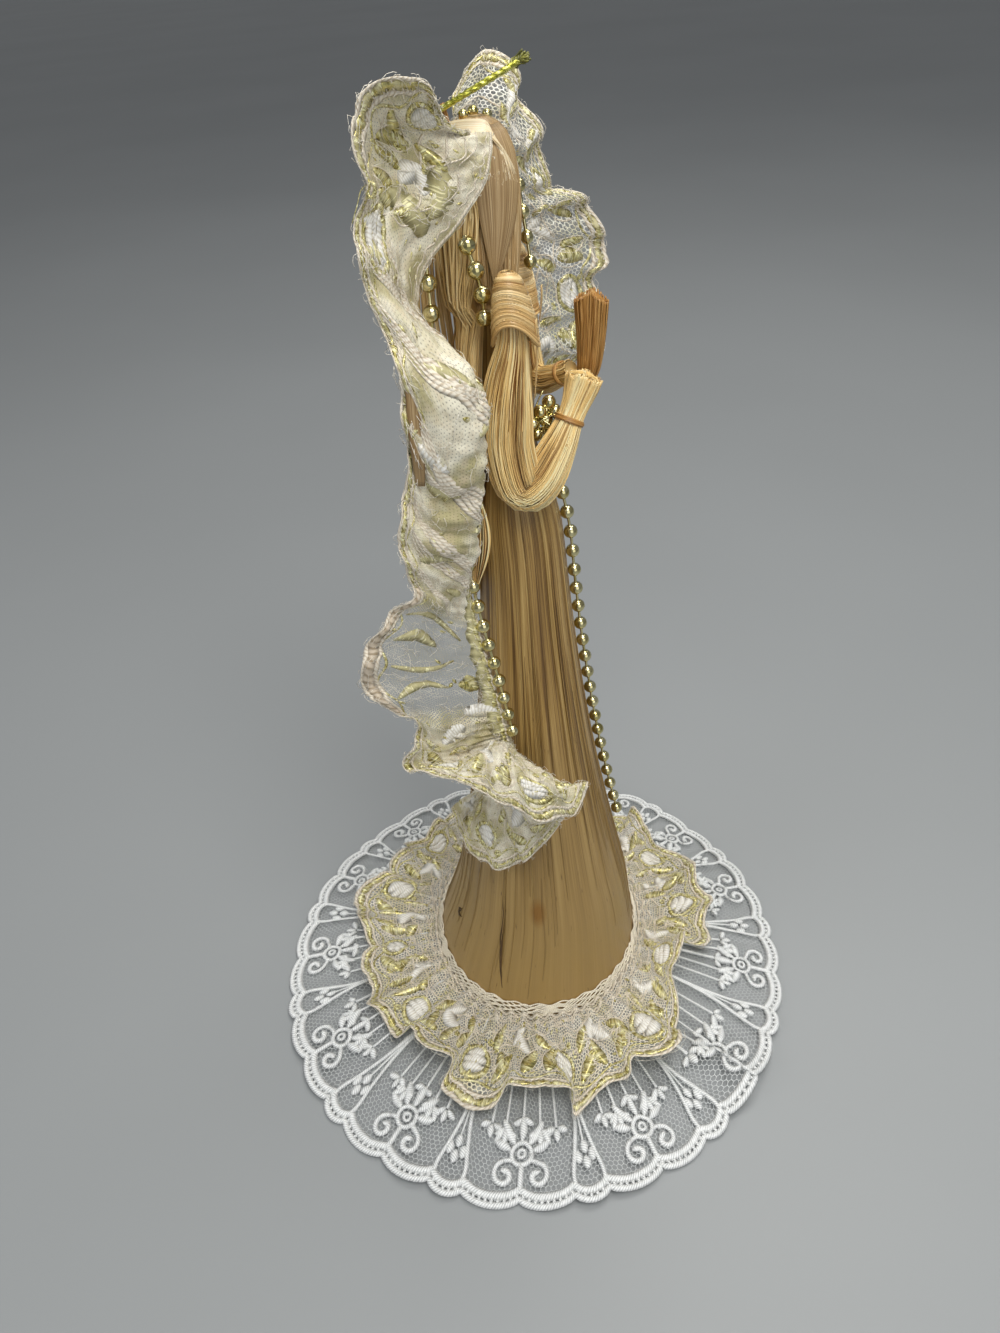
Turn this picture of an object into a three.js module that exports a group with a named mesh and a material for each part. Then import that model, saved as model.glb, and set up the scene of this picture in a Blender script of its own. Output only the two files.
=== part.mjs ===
// Straw angel figurine: combed fibre gown, arms and hair, lace wings and hem, gold beads and halo.
// Millimetres, +Z up. The angel faces -Y and its right side is -X. The origin is on the floor
// under the middle of the white hem lace. The figure stands a little off that point.
import * as THREE from 'three';

// Where the figure's own axis stands on the floor.
const axisX = 11.2;
const axisY = 1;
// Gap kept between pieces that touch.
const gap = 0.35;

// Gown: a hollow bell that is drawn in to a bodice and a neck.
const hemRadius = 27.6;
const waistRadius = 8;
const waistHeight = 146;
const bellFlare = 1.85;
const hemStretch = 0.13;
const hemStretchAngle = 198;
const gownLean = -2.5;
const chestLean = -1.4;
const chestRadius = 5.1;
const chestStart = 130;
const chestEnd = 148;
const neckRadius = 3.9;
const shoulderHeight = 157;
const neckHeight = 171;
const gownWall = 2.2;
const cavityRows = [92, 70, 50, 32, 16, 0];
const gownRows = [0, 10, 22, 36, 54, 76, 102, 126, 137, 148, 160, 166, neckHeight];
const gownSides = 26;

// Head: a tall oval of folded fibre on the neck. Each row is a height and a radius.
const headProfile = [
  [171.4, 3.9], [175, 4.5], [180, 5.2], [186, 5.7], [191, 5.6], [195.5, 5], [198.6, 3.6], [200, 1.6],
];
const headY = 0.3;
const headDepth = 1.03;

// Hair: each row is a height, the half angle it covers round the back, and its thickness.
const hairProfile = [
  [198.8, 60, 1.2], [195, 88, 1.9], [188, 100, 2.3], [180, 90, 2.5], [173, 72, 2.8], [166, 64, 3],
  [158, 62, 3], [148, 62, 2.6], [138, 44, 2.2], [128, 34, 1.8], [118, 26, 1.4], [110, 16, 1],
];
const hairColumns = 7;
const hairEdge = 0.45;

// Halo: a ring of gold cord, higher at the front.
const haloRadius = 6.5;
const haloCord = 0.65;
const haloTilt = 24.5;
const haloY = -0.4;
const haloHeight = 203.9;

// Sleeve caps: each row is a height, a half depth, a half width and how far the middle sits forward.
const rightCapPlace = [-8.6, -5.1];
const leftCapPlace = [8, -2.6];
const capWall = 0.8;
const capProfile = [
  [167.6, 4.2, 3.7, 0.6], [171, 4, 3.6, 0.5], [175, 3.3, 3.1, 0.3], [178, 2.3, 2.2, 0.1], [179.4, 1, 1, 0],
];

// Arms: each row is a point on the middle line, then the half depth and the half width.
const rightArmLine = [
  [-8.5, -5.5, 173.4, 1.8, 1.5], [-8.6, -5.6, 168, 2.6, 2.2], [-9, -4.6, 162, 3.7, 2.7],
  [-9.3, -4, 156, 4.4, 2.9], [-9.4, -3.9, 149.4, 4.5, 2.9], [-9.4, -5.9, 141.6, 4.5, 2.8],
  [-8.4, -9.4, 143.4, 4, 2.7], [-6.3, -12.1, 148.2, 3.2, 2.4], [-3.9, -13.9, 152.6, 2.3, 2],
  [-2.9, -14.7, 155, 2.4, 1.8], [-2.3, -15.8, 158.4, 3.1, 1.5], [-2.1, -16.6, 161.4, 3.3, 1.3],
];
const leftArmLine = [
  [7.9, -2.9, 173.4, 1.8, 1.5], [8, -3.1, 168, 2.6, 2.2], [8.7, -2.6, 163.4, 3.1, 2.6],
  [9.1, -2.8, 158.6, 3.2, 2.6], [8.8, -4.2, 155.2, 2.9, 2.4], [7.5, -6.8, 155.2, 2.7, 2.2],
  [5.7, -9.3, 156.6, 2.3, 2.1], [4.2, -11.2, 157.8, 1.9, 1.8], [3.5, -12.2, 158.4, 1.9, 1.7],
  [2.9, -13.1, 159, 2.1, 1.4],
];
const tieCord = 0.45;
const rightTieAt = 8;
const leftTieAt = 7;

// Praying hands: an upright bundle on the same kind of line.
const handsLine = [
  [1.5, -15.9, 158.2, 1.7, 1.3], [1.4, -16.6, 161, 2.3, 1.6], [1.2, -16.9, 166, 2.6, 1.7],
  [1.1, -17, 171.4, 3, 1.8], [1.1, -17.1, 173.9, 0.9, 0.7],
];

// Bead garlands: 3 mm beads on a thread, each along its own route.
const beadRadius = 1.45;
const beadPitch = 4.65;
const threadRadius = 0.4;
const beadProfile = [
  [-1.02, threadRadius], [-0.5, beadRadius * 0.88], [0.5, beadRadius * 0.88], [1.02, threadRadius],
];
// The front garland lies on the gown: each row is a height and an angle round it.
const frontDrape = [
  [154, 258], [150, 274], [145, 286], [138, 294], [126, 298], [112, 298], [98, 298], [82, 298],
  [66, 299], [52, 297], [39, 296],
];
const rightNeckRoute = [
  [-9.8, 1.4, 186], [-9.8, 0.2, 181], [-9.7, -0.2, 176.6], [-9.3, 0.2, 172], [-8.7, 1, 167],
];
const leftNeckRoute = [
  [5.6, -4.3, 192], [4.9, -5.3, 188.4], [4.9, -5.8, 183.8], [4.7, -6.2, 179.4], [4.5, -6.4, 175],
];

// Wings: the gathered edge and the outer edge of the lace, from the top of the wing to its foot.
const rightWing = {
  root: [
    [-5.5, 8.9, 194], [-8.5, 8.2, 188], [-11, 7.2, 181.5], [-12, 6.7, 174], [-12.4, 6.6, 166], [-13, 5.7, 155],
    [-14.6, 4.8, 143], [-15.2, 4.2, 130], [-15.4, 2.6, 117], [-15.2, 0.4, 103], [-14.9, -1.3, 91],
    [-14.7, -2.3, 83], [-14.7, -2.8, 80.5], [-14.6, -3.3, 79],
  ],
  edge: [
    [-13, -6.8, 199.4], [-20, 4.4, 207.4], [-26, 8.8, 205.6], [-33, 9, 192], [-38, 4.6, 179], [-37.4, 2.6, 162],
    [-35, 5, 148], [-33, 9.6, 134], [-31, 20.6, 114], [-30, 18, 93], [-28, 14, 70], [-26, 4.5, 52.5],
    [-25, -9.5, 61], [-23, -20.2, 81],
  ],
};
const leftWing = {
  root: rightWing.root.map(([x, y, z]) => [-x, y - 0.6, z]),
  edge: [
    [12, -5, 201.5], [16, -0.4, 205.8], [22, -0.6, 202.6], [30, -3.2, 189], [36, -12, 173], [35, -9, 158],
    [35, 1, 145], [33, 7, 131], [30, 14, 113], [29, 14, 92], [27, 9, 70], [25, 2, 55],
    [24, -5, 61], [22.5, -8.5, 76],
  ],
};
const wingRuffle = 2.6;
const wingWaves = 9;
const wingSteps = 34;
const wingStart = 0.1;

// Wing straws: flat leaf-shaped blades behind the lace, between two places along the wing.
const bladeFrom = 0.16;
const bladeTo = 0.62;
const bladeReach = 0.4;
const bladeBack = 2.9;
const bladeSpineY = 9.9;
const bladeThickness = 1.1;

// Hem laces: two gathered rings round the foot of the gown.
const laceThickness = 0.8;
const whiteRadius = 66;
const whiteScallops = 46;
const whiteScallopDepth = 0.7;
const whiteRipple = 0.5;
const whiteRipples = 22;
const foldAngle = 246;
const foldWidth = 11;
const foldHeight = 3.4;
const goldReach = 18.5;
const goldReachNear = 5;
const nearAngle = 190;
const goldWaves = 11;
const goldWave = 2.6;
const goldHeight = 3.3;
const goldLift = 6.5;

const straw = new THREE.MeshStandardMaterial({ color: 0xd2ab70, roughness: 0.45, metalness: 0 });
const paleStraw = new THREE.MeshStandardMaterial({ color: 0xe6c695, roughness: 0.4, metalness: 0 });
const darkStraw = new THREE.MeshStandardMaterial({ color: 0xb98348, roughness: 0.5, metalness: 0 });
const hairStraw = new THREE.MeshStandardMaterial({ color: 0xb58f5c, roughness: 0.5, metalness: 0 });
const gold = new THREE.MeshStandardMaterial({ color: 0xc9b95a, roughness: 0.25, metalness: 0.9 });
const goldCord = new THREE.MeshStandardMaterial({ color: 0xc8c23c, roughness: 0.35, metalness: 0.7 });
const creamLace = new THREE.MeshStandardMaterial({ color: 0xe5dcc4, roughness: 0.8, metalness: 0 });
const whiteLace = new THREE.MeshStandardMaterial({ color: 0xf2f3ef, roughness: 0.85, metalness: 0 });

const radians = THREE.MathUtils.degToRad;

const figure = new THREE.Group();
figure.position.set(axisX, axisY, 0);

function addPiece(name, geometry, material) {
  const mesh = new THREE.Mesh(geometry, material);
  mesh.name = name;
  figure.add(mesh);
  return mesh;
}

function vectors(rows) {
  return rows.map(([x, y, z]) => new THREE.Vector3(x, y, z));
}

function geometryOf(points, indices) {
  const geometry = new THREE.BufferGeometry();
  const numbers = points.flatMap((p) => [p.x, p.y, p.z]);
  geometry.setAttribute('position', new THREE.Float32BufferAttribute(numbers, 3));
  geometry.setIndex(indices);
  geometry.computeVertexNormals();
  return geometry;
}

// Skins rings of equal counts. An open run is closed by a fan over each end ring.
function loft(rings, joined = false) {
  const sides = rings[0].length;
  const points = rings.flat();
  const indices = [];
  const spans = joined ? rings.length : rings.length - 1;
  for (let r = 0; r < spans; r += 1) {
    const next = ((r + 1) % rings.length) * sides;
    for (let s = 0; s < sides; s += 1) {
      const t = (s + 1) % sides;
      indices.push(r * sides + s, r * sides + t, next + t, r * sides + s, next + t, next + s);
    }
  }
  if (!joined) {
    closeEnd(points, indices, rings[0], 0, true);
    closeEnd(points, indices, rings[rings.length - 1], (rings.length - 1) * sides, false);
  }
  return geometryOf(points, indices);
}

function closeEnd(points, indices, ring, first, flipped) {
  const middle = ring.reduce((sum, p) => sum.add(p), new THREE.Vector3()).divideScalar(ring.length);
  const centre = points.push(middle) - 1;
  for (let s = 0; s < ring.length; s += 1) {
    const t = (s + 1) % ring.length;
    if (flipped) indices.push(centre, first + t, first + s);
    else indices.push(centre, first + s, first + t);
  }
}

// An oval ring of points about a middle, on two half-axis vectors.
function oval(middle, axisA, axisB, sides) {
  return Array.from({ length: sides }, (_, s) => {
    const turn = (s / sides) * Math.PI * 2;
    return middle.clone().addScaledVector(axisA, Math.cos(turn)).addScaledVector(axisB, Math.sin(turn));
  });
}

// A thin body on a grid of points: rows run along the cloth, columns from edge to edge.
function sheet(rows, thicknessAt, joined = false) {
  const count = rows.length;
  const width = rows[0].length;
  const row = (i) => rows[joined ? (i + count) % count : THREE.MathUtils.clamp(i, 0, count - 1)];
  const front = [];
  const back = [];
  for (let i = 0; i < count; i += 1) {
    for (let j = 0; j < width; j += 1) {
      const along = row(i + 1)[j].clone().sub(row(i - 1)[j]);
      const across = rows[i][Math.min(j + 1, width - 1)].clone().sub(rows[i][Math.max(j - 1, 0)]);
      const offset = along.cross(across).normalize().multiplyScalar(thicknessAt(i, j) / 2);
      front.push(rows[i][j].clone().add(offset));
      back.push(rows[i][j].clone().sub(offset));
    }
  }
  const indices = [];
  const f = (i, j) => (i % count) * width + j;
  const b = (i, j) => f(i, j) + front.length;
  const quad = (p, q, r, s) => indices.push(p, q, r, p, r, s);
  for (let i = 0; i < (joined ? count : count - 1); i += 1) {
    for (let j = 0; j < width - 1; j += 1) {
      quad(f(i, j), f(i + 1, j), f(i + 1, j + 1), f(i, j + 1));
      quad(b(i, j), b(i, j + 1), b(i + 1, j + 1), b(i + 1, j));
    }
    quad(b(i, 0), b(i + 1, 0), f(i + 1, 0), f(i, 0));
    quad(f(i, width - 1), f(i + 1, width - 1), b(i + 1, width - 1), b(i, width - 1));
  }
  if (!joined) {
    for (let j = 0; j < width - 1; j += 1) {
      quad(b(0, j), f(0, j), f(0, j + 1), b(0, j + 1));
      quad(f(count - 1, j), b(count - 1, j), b(count - 1, j + 1), f(count - 1, j + 1));
    }
  }
  return geometryOf([...front, ...back], indices);
}

// Outer radius and middle of the gown at a height, before the hem's stretch.
function gownRadius(z) {
  const bell = waistRadius + (hemRadius - waistRadius) * Math.max(0, 1 - z / waistHeight) ** bellFlare;
  const chest = THREE.MathUtils.smoothstep(z, chestStart, chestEnd);
  const neck = THREE.MathUtils.smoothstep(z, shoulderHeight, neckHeight);
  return THREE.MathUtils.lerp(THREE.MathUtils.lerp(bell, chestRadius, chest), neckRadius, neck);
}

function gownMiddle(z) {
  const lean = gownLean * THREE.MathUtils.smoothstep(z, 0, 30);
  return THREE.MathUtils.lerp(lean, chestLean, THREE.MathUtils.smoothstep(z, 120, chestEnd));
}

// The hem is longer on one line than across it.
function gownPoint(angle, z, grow) {
  const radius = gownRadius(z);
  const flare = (radius - waistRadius) / (hemRadius - waistRadius);
  const stretch = 1 + hemStretch * Math.max(0, flare) * Math.cos(angle - radians(hemStretchAngle)) ** 2;
  const reach = radius * stretch + grow;
  return new THREE.Vector3(reach * Math.cos(angle), gownMiddle(z) + reach * Math.sin(angle), z);
}

function gownRing(z, grow) {
  return Array.from({ length: gownSides }, (_, s) => gownPoint((s / gownSides) * Math.PI * 2, z, grow));
}

function buildGown() {
  const inside = cavityRows.map((z) => gownRing(z, -gownWall));
  const outside = gownRows.map((z) => gownRing(z, 0));
  addPiece('straw_gown', loft([...inside, ...outside]), straw);
}

function buildHead() {
  const rings = headProfile.map(([z, r]) => oval(
    new THREE.Vector3(0, headY, z),
    new THREE.Vector3(r * 0.97, 0, 0),
    new THREE.Vector3(0, r * headDepth, 0),
    14,
  ));
  addPiece('head', loft(rings), straw);
}

// What the hair lies on: the head, and the gown below the neck.
function bodyAt(z) {
  if (z < headProfile[0][0]) return [gownRadius(z), gownMiddle(z)];
  const k = Math.max(1, headProfile.findIndex(([height]) => height >= z));
  const [low, high] = [headProfile[k - 1], headProfile[k]];
  const r = THREE.MathUtils.mapLinear(z, low[0], high[0], low[1], high[1]);
  return [r * headDepth, headY];
}

function buildHair() {
  const rows = Array.from({ length: hairColumns + 1 }, (_, i) => hairProfile.map(([z, spread, thick]) => {
    const [radius, middle] = bodyAt(z);
    const turn = radians(spread) * ((i / hairColumns) * 2 - 1);
    const reach = radius + gap + 0.25 + thick / 2;
    return new THREE.Vector3(reach * Math.sin(turn), middle + reach * Math.cos(turn), z);
  }));
  const edge = (i) => THREE.MathUtils.lerp(hairEdge, 1, Math.sin((i / hairColumns) * Math.PI));
  addPiece('hair', sheet(rows, (i, j) => hairProfile[j][2] * edge(i)), hairStraw);
}

function buildHalo() {
  const halo = addPiece('halo', new THREE.TorusGeometry(haloRadius, haloCord, 5, 22), goldCord);
  halo.position.set(0, haloY, haloHeight);
  halo.rotation.x = radians(-haloTilt);
}

function buildSleeveCap(name, [x, y]) {
  const ring = ([z, depth, width, forward], wall) => oval(
    new THREE.Vector3(x, y - forward, z),
    new THREE.Vector3(width - wall, 0, 0),
    new THREE.Vector3(0, depth - wall, 0),
    14,
  );
  const outside = capProfile.map((row) => ring(row, 0));
  const [top, ...sides] = capProfile.slice(0, -1).reverse();
  const ceiling = ring([top[0] - capWall, top[1], top[2], top[3]], capWall);
  addPiece(name, loft([ceiling, ...sides.map((row) => ring(row, capWall)), ...outside]), paleStraw);
}

// Places along a line of [x, y, z, depth, width] rows, with their oval half axes.
function bundleFrames(line, steps) {
  const curve = new THREE.CatmullRomCurve3(vectors(line));
  const sizes = new THREE.CatmullRomCurve3(line.map((row) => new THREE.Vector3(row[3], row[4], 0)));
  return Array.from({ length: steps + 1 }, (_, k) => {
    const t = k / steps;
    const middle = curve.getPoint(t);
    const tangent = curve.getTangent(t);
    const size = sizes.getPoint(t);
    const across = new THREE.Vector3(1, 0, 0).addScaledVector(tangent, -tangent.x).normalize();
    const deep = tangent.clone().cross(across);
    return { middle, tangent, across: across.multiplyScalar(size.y), deep: deep.multiplyScalar(size.x) };
  });
}

function buildBundle(name, line, steps, material) {
  const rings = bundleFrames(line, steps).map((f) => oval(f.middle, f.across, f.deep, 9));
  addPiece(name, loft(rings), material);
}

function buildTie(name, line, place) {
  const count = line.length - 1;
  const frame = bundleFrames(line, count)[place];
  const grow = gap + tieCord;
  const rings = Array.from({ length: 12 }, (_, s) => {
    const turn = (s / 12) * Math.PI * 2;
    const out = frame.across.clone().setLength(frame.across.length() + grow).multiplyScalar(Math.cos(turn));
    out.addScaledVector(frame.deep.clone().setLength(frame.deep.length() + grow), Math.sin(turn));
    const middle = frame.middle.clone().add(out);
    const axisOut = out.clone().setLength(tieCord);
    return oval(middle, axisOut, frame.tangent.clone().setLength(tieCord), 5);
  });
  addPiece(name, loft(rings.reverse(), true), darkStraw);
}

function buildGarland(name, route) {
  const curve = new THREE.CatmullRomCurve3(route);
  const length = curve.getLength();
  const count = Math.floor((length - beadRadius * 2) / beadPitch) + 1;
  const start = (length - (count - 1) * beadPitch) / 2;
  const rings = [];
  for (let k = 0; k < count; k += 1) {
    for (const [shift, r] of beadProfile) {
      const t = (start + k * beadPitch + shift * beadRadius) / length;
      const tangent = curve.getTangentAt(t);
      const across = new THREE.Vector3(1, 0, 0).addScaledVector(tangent, -tangent.x).normalize();
      const deep = tangent.clone().cross(across);
      rings.push(oval(curve.getPointAt(t), across.multiplyScalar(r), deep.multiplyScalar(r), 5));
    }
  }
  addPiece(name, loft(rings), gold);
}

// The lace surface of a wing: u runs down the wing, v from the bead line to the scalloped edge.
function wingSurface(wing) {
  const root = new THREE.CatmullRomCurve3(vectors(wing.root));
  const edge = new THREE.CatmullRomCurve3(vectors(wing.edge));
  const flat = (u, v) => root.getPoint(u).lerp(edge.getPoint(u), v);
  const normal = (u, v) => {
    const along = flat(Math.min(1, u + 0.01), v).sub(flat(Math.max(0, u - 0.01), v));
    const across = flat(u, 1).sub(flat(u, 0));
    return along.cross(across).normalize();
  };
  const ruffled = (u, v) => {
    const wave = wingRuffle * v ** 1.4 * Math.sin(u * wingWaves * Math.PI * 2);
    return flat(u, v).addScaledVector(normal(u, v), wave);
  };
  return { flat, normal, ruffled };
}

function buildWingLace(name, wing) {
  const { ruffled } = wingSurface(wing);
  const places = [wingStart, 0.4, 0.7, 1];
  const rows = Array.from({ length: wingSteps + 1 }, (_, i) => places.map((v) => ruffled(i / wingSteps, v)));
  addPiece(name, sheet(rows, () => laceThickness), creamLace);
}

// A blade starts at the middle of the back, passes behind the bead line and backs the lace.
function buildWingStraw(name, wing, side) {
  const { flat, normal } = wingSurface(wing);
  const steps = 9;
  const rows = Array.from({ length: steps + 1 }, (_, i) => {
    const u = THREE.MathUtils.lerp(bladeFrom, bladeTo, i / steps);
    const backward = normal(u, 0).multiplyScalar(Math.sign(normal(u, 0).y) * bladeBack);
    const reach = bladeReach * Math.sin(((i + 0.4) / (steps + 0.8)) * Math.PI) ** 0.6;
    const behind = [0, reach * 0.5, reach].map((v) => flat(u, v).add(backward));
    const spine = new THREE.Vector3(side * 0.8, bladeSpineY, behind[0].z);
    return [spine, spine.clone().lerp(behind[0], 0.5), ...behind];
  });
  addPiece(name, sheet(rows, () => bladeThickness), darkStraw);
}

function buildWing(wing, side, name) {
  buildWingStraw(`${name}_wing_straw`, wing, side);
  buildWingLace(`${name}_wing_lace`, wing);
  buildGarland(`${name}_wing_bead_garland`, vectors(wing.root.slice(0, -2)));
}

// Distance from the gown's axis to the white lace's round outline, which is centred on the origin.
function whiteReach(angle) {
  const along = axisX * Math.cos(angle) + axisY * Math.sin(angle);
  return -along + Math.sqrt(along ** 2 + whiteRadius ** 2 - axisX ** 2 - axisY ** 2);
}

function buildWhiteHemLace() {
  const steps = whiteScallops * 2;
  const rows = Array.from({ length: steps }, (_, i) => {
    const angle = (i / steps) * Math.PI * 2;
    const scallop = i % 2 ? whiteScallopDepth : -whiteScallopDepth;
    const offFold = THREE.MathUtils.euclideanModulo(THREE.MathUtils.radToDeg(angle) - foldAngle + 180, 360) - 180;
    const fold = foldHeight * Math.exp(-((offFold / foldWidth) ** 2));
    return [0, 0.5, 1].map((v) => {
      const hem = gownPoint(angle, 0, gap + 0.1);
      const inner = Math.hypot(hem.x, hem.y);
      const reach = THREE.MathUtils.lerp(inner, whiteReach(angle) - whiteScallopDepth + scallop, v);
      const ripple = whiteRipple * (1 + Math.cos(angle * whiteRipples)) * v;
      const z = laceThickness / 2 + ripple + fold * THREE.MathUtils.smoothstep(v, 0.35, 1);
      return new THREE.Vector3(reach * Math.cos(angle), reach * Math.sin(angle), z);
    });
  });
  addPiece('white_hem_lace', sheet(rows, () => laceThickness, true), whiteLace);
}

function buildGoldHemLace() {
  const steps = goldWaves * 5;
  const rows = Array.from({ length: steps }, (_, i) => {
    const angle = (i / steps) * Math.PI * 2;
    const wave = Math.sin(angle * goldWaves) + 0.35 * Math.sin(angle * 4 + 1);
    const reach = goldReach + goldReachNear * Math.cos(angle - radians(nearAngle));
    return [0, 0.4, 0.75, 1].map((v) => {
      const foot = gownPoint(angle, goldHeight, gap + 0.5);
      const inner = Math.hypot(foot.x, foot.y);
      const out = inner + v * (reach + goldWave * wave * v);
      const z = goldHeight + v * (0.8 + goldLift * 0.5 * (1 + Math.sin(angle * goldWaves + 2.2)) * v);
      return new THREE.Vector3(out * Math.cos(angle), out * Math.sin(angle), z);
    });
  });
  addPiece('gold_hem_lace', sheet(rows, () => laceThickness, true), creamLace);
}

const frontRoute = frontDrape.map(([z, angle]) => gownPoint(radians(angle), z, beadRadius + gap));

buildGown();
buildHead();
buildHair();
buildHalo();
buildSleeveCap('right_sleeve_cap', rightCapPlace);
buildSleeveCap('left_sleeve_cap', leftCapPlace);
buildBundle('right_arm', rightArmLine, 17, paleStraw);
buildBundle('left_arm', leftArmLine, 13, paleStraw);
buildTie('right_wrist_tie', rightArmLine, rightTieAt);
buildTie('left_wrist_tie', leftArmLine, leftTieAt);
buildBundle('praying_hands', handsLine, 6, darkStraw);
buildGarland('front_bead_garland', frontRoute);
buildGarland('right_neck_bead_garland', vectors(rightNeckRoute));
buildGarland('left_neck_bead_garland', vectors(leftNeckRoute));
buildWing(rightWing, -1, 'right');
buildWing(leftWing, 1, 'left');
buildWhiteHemLace();
buildGoldHemLace();

export default figure;
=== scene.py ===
# Straw angel figurine: fibre, lace, beads and halo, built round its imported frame.
# Places are in millimetres from the figure's own upright axis. Shape.make turns them into metres.
import math

import bpy
import numpy as np
from mathutils import Matrix, Vector


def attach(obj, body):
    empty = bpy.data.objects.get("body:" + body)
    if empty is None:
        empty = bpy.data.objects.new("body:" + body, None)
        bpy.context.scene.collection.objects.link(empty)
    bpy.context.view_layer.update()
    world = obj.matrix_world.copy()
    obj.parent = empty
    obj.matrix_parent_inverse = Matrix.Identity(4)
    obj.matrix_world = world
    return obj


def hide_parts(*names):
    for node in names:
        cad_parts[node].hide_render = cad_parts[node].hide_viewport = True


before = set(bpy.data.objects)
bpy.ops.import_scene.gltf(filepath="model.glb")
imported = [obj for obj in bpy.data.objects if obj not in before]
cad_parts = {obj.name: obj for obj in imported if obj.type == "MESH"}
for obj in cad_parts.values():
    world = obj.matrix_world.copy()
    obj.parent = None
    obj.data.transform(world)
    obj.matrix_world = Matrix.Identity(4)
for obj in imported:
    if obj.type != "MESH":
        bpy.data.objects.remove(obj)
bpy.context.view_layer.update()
tau = 2 * math.pi
stand = np.array([11.2, 1.0, 0.0])  # where the figure's axis stands on the floor
nearSide = np.array([-1.0, 0, 0.2])  # the way that flat strands on the near side face
link = bpy.context.scene.collection.objects.link  # puts a new object in the scene


# Small helpers for curves and surfaces

def smoothStep(x, low, high):
    t = np.clip((np.asarray(x, float) - low) / (high - low), 0, 1)
    return t * t * (3 - 2 * t)


def shares(count):
    # even steps from 0 to 1
    return np.linspace(0, 1, count)


def unit(v):
    return v / np.maximum(np.linalg.norm(v, axis=-1, keepdims=True), 1e-9)


def curveAt(points, t):
    # a smooth curve through the points, t from 0 to 1
    p = np.asarray(points, float)
    p = np.vstack([2 * p[0] - p[1], p, 2 * p[-1] - p[-2]])
    x = np.clip(np.asarray(t, float), 0, 1) * (len(p) - 3)
    i = np.minimum(x.astype(int), len(p) - 4)
    f = (x - i)[..., None]
    a, b, c, d = p[i], p[i + 1], p[i + 2], p[i + 3]
    return 0.5 * (2 * b + (c - a) * f + (2 * a - 5 * b + 4 * c - d) * f**2 + (3 * b - a - 3 * c + d) * f**3)


def evenly(points, step):
    # the same curve, in points about one step apart
    fine = curveAt(points, np.linspace(0, 1, 40 * len(points)))
    run = runAlong(fine)
    count = max(3, int(run[-1] / step) + 1)
    at = np.linspace(0, run[-1], count)
    return np.stack([np.interp(at, run, fine[:, k]) for k in range(fine.shape[1])], 1)


def runAlong(points):
    # the distance along a line at each of its points
    return np.concatenate([[0], np.cumsum(np.linalg.norm(np.diff(points, axis=0), axis=1))])


def taper(start, end, steps):
    # a strand's thickness along its run: a small start leaves a fine point
    return np.sin(np.linspace(start, math.pi - end, steps))


def wander(count, keys, seed):
    # smooth random waves, one row of values for each of count strands
    rng = np.random.default_rng(seed)
    values = rng.normal(0, 1, (count, keys))
    return lambda t: np.stack([np.interp(t, shares(keys), row) for row in values])


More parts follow.
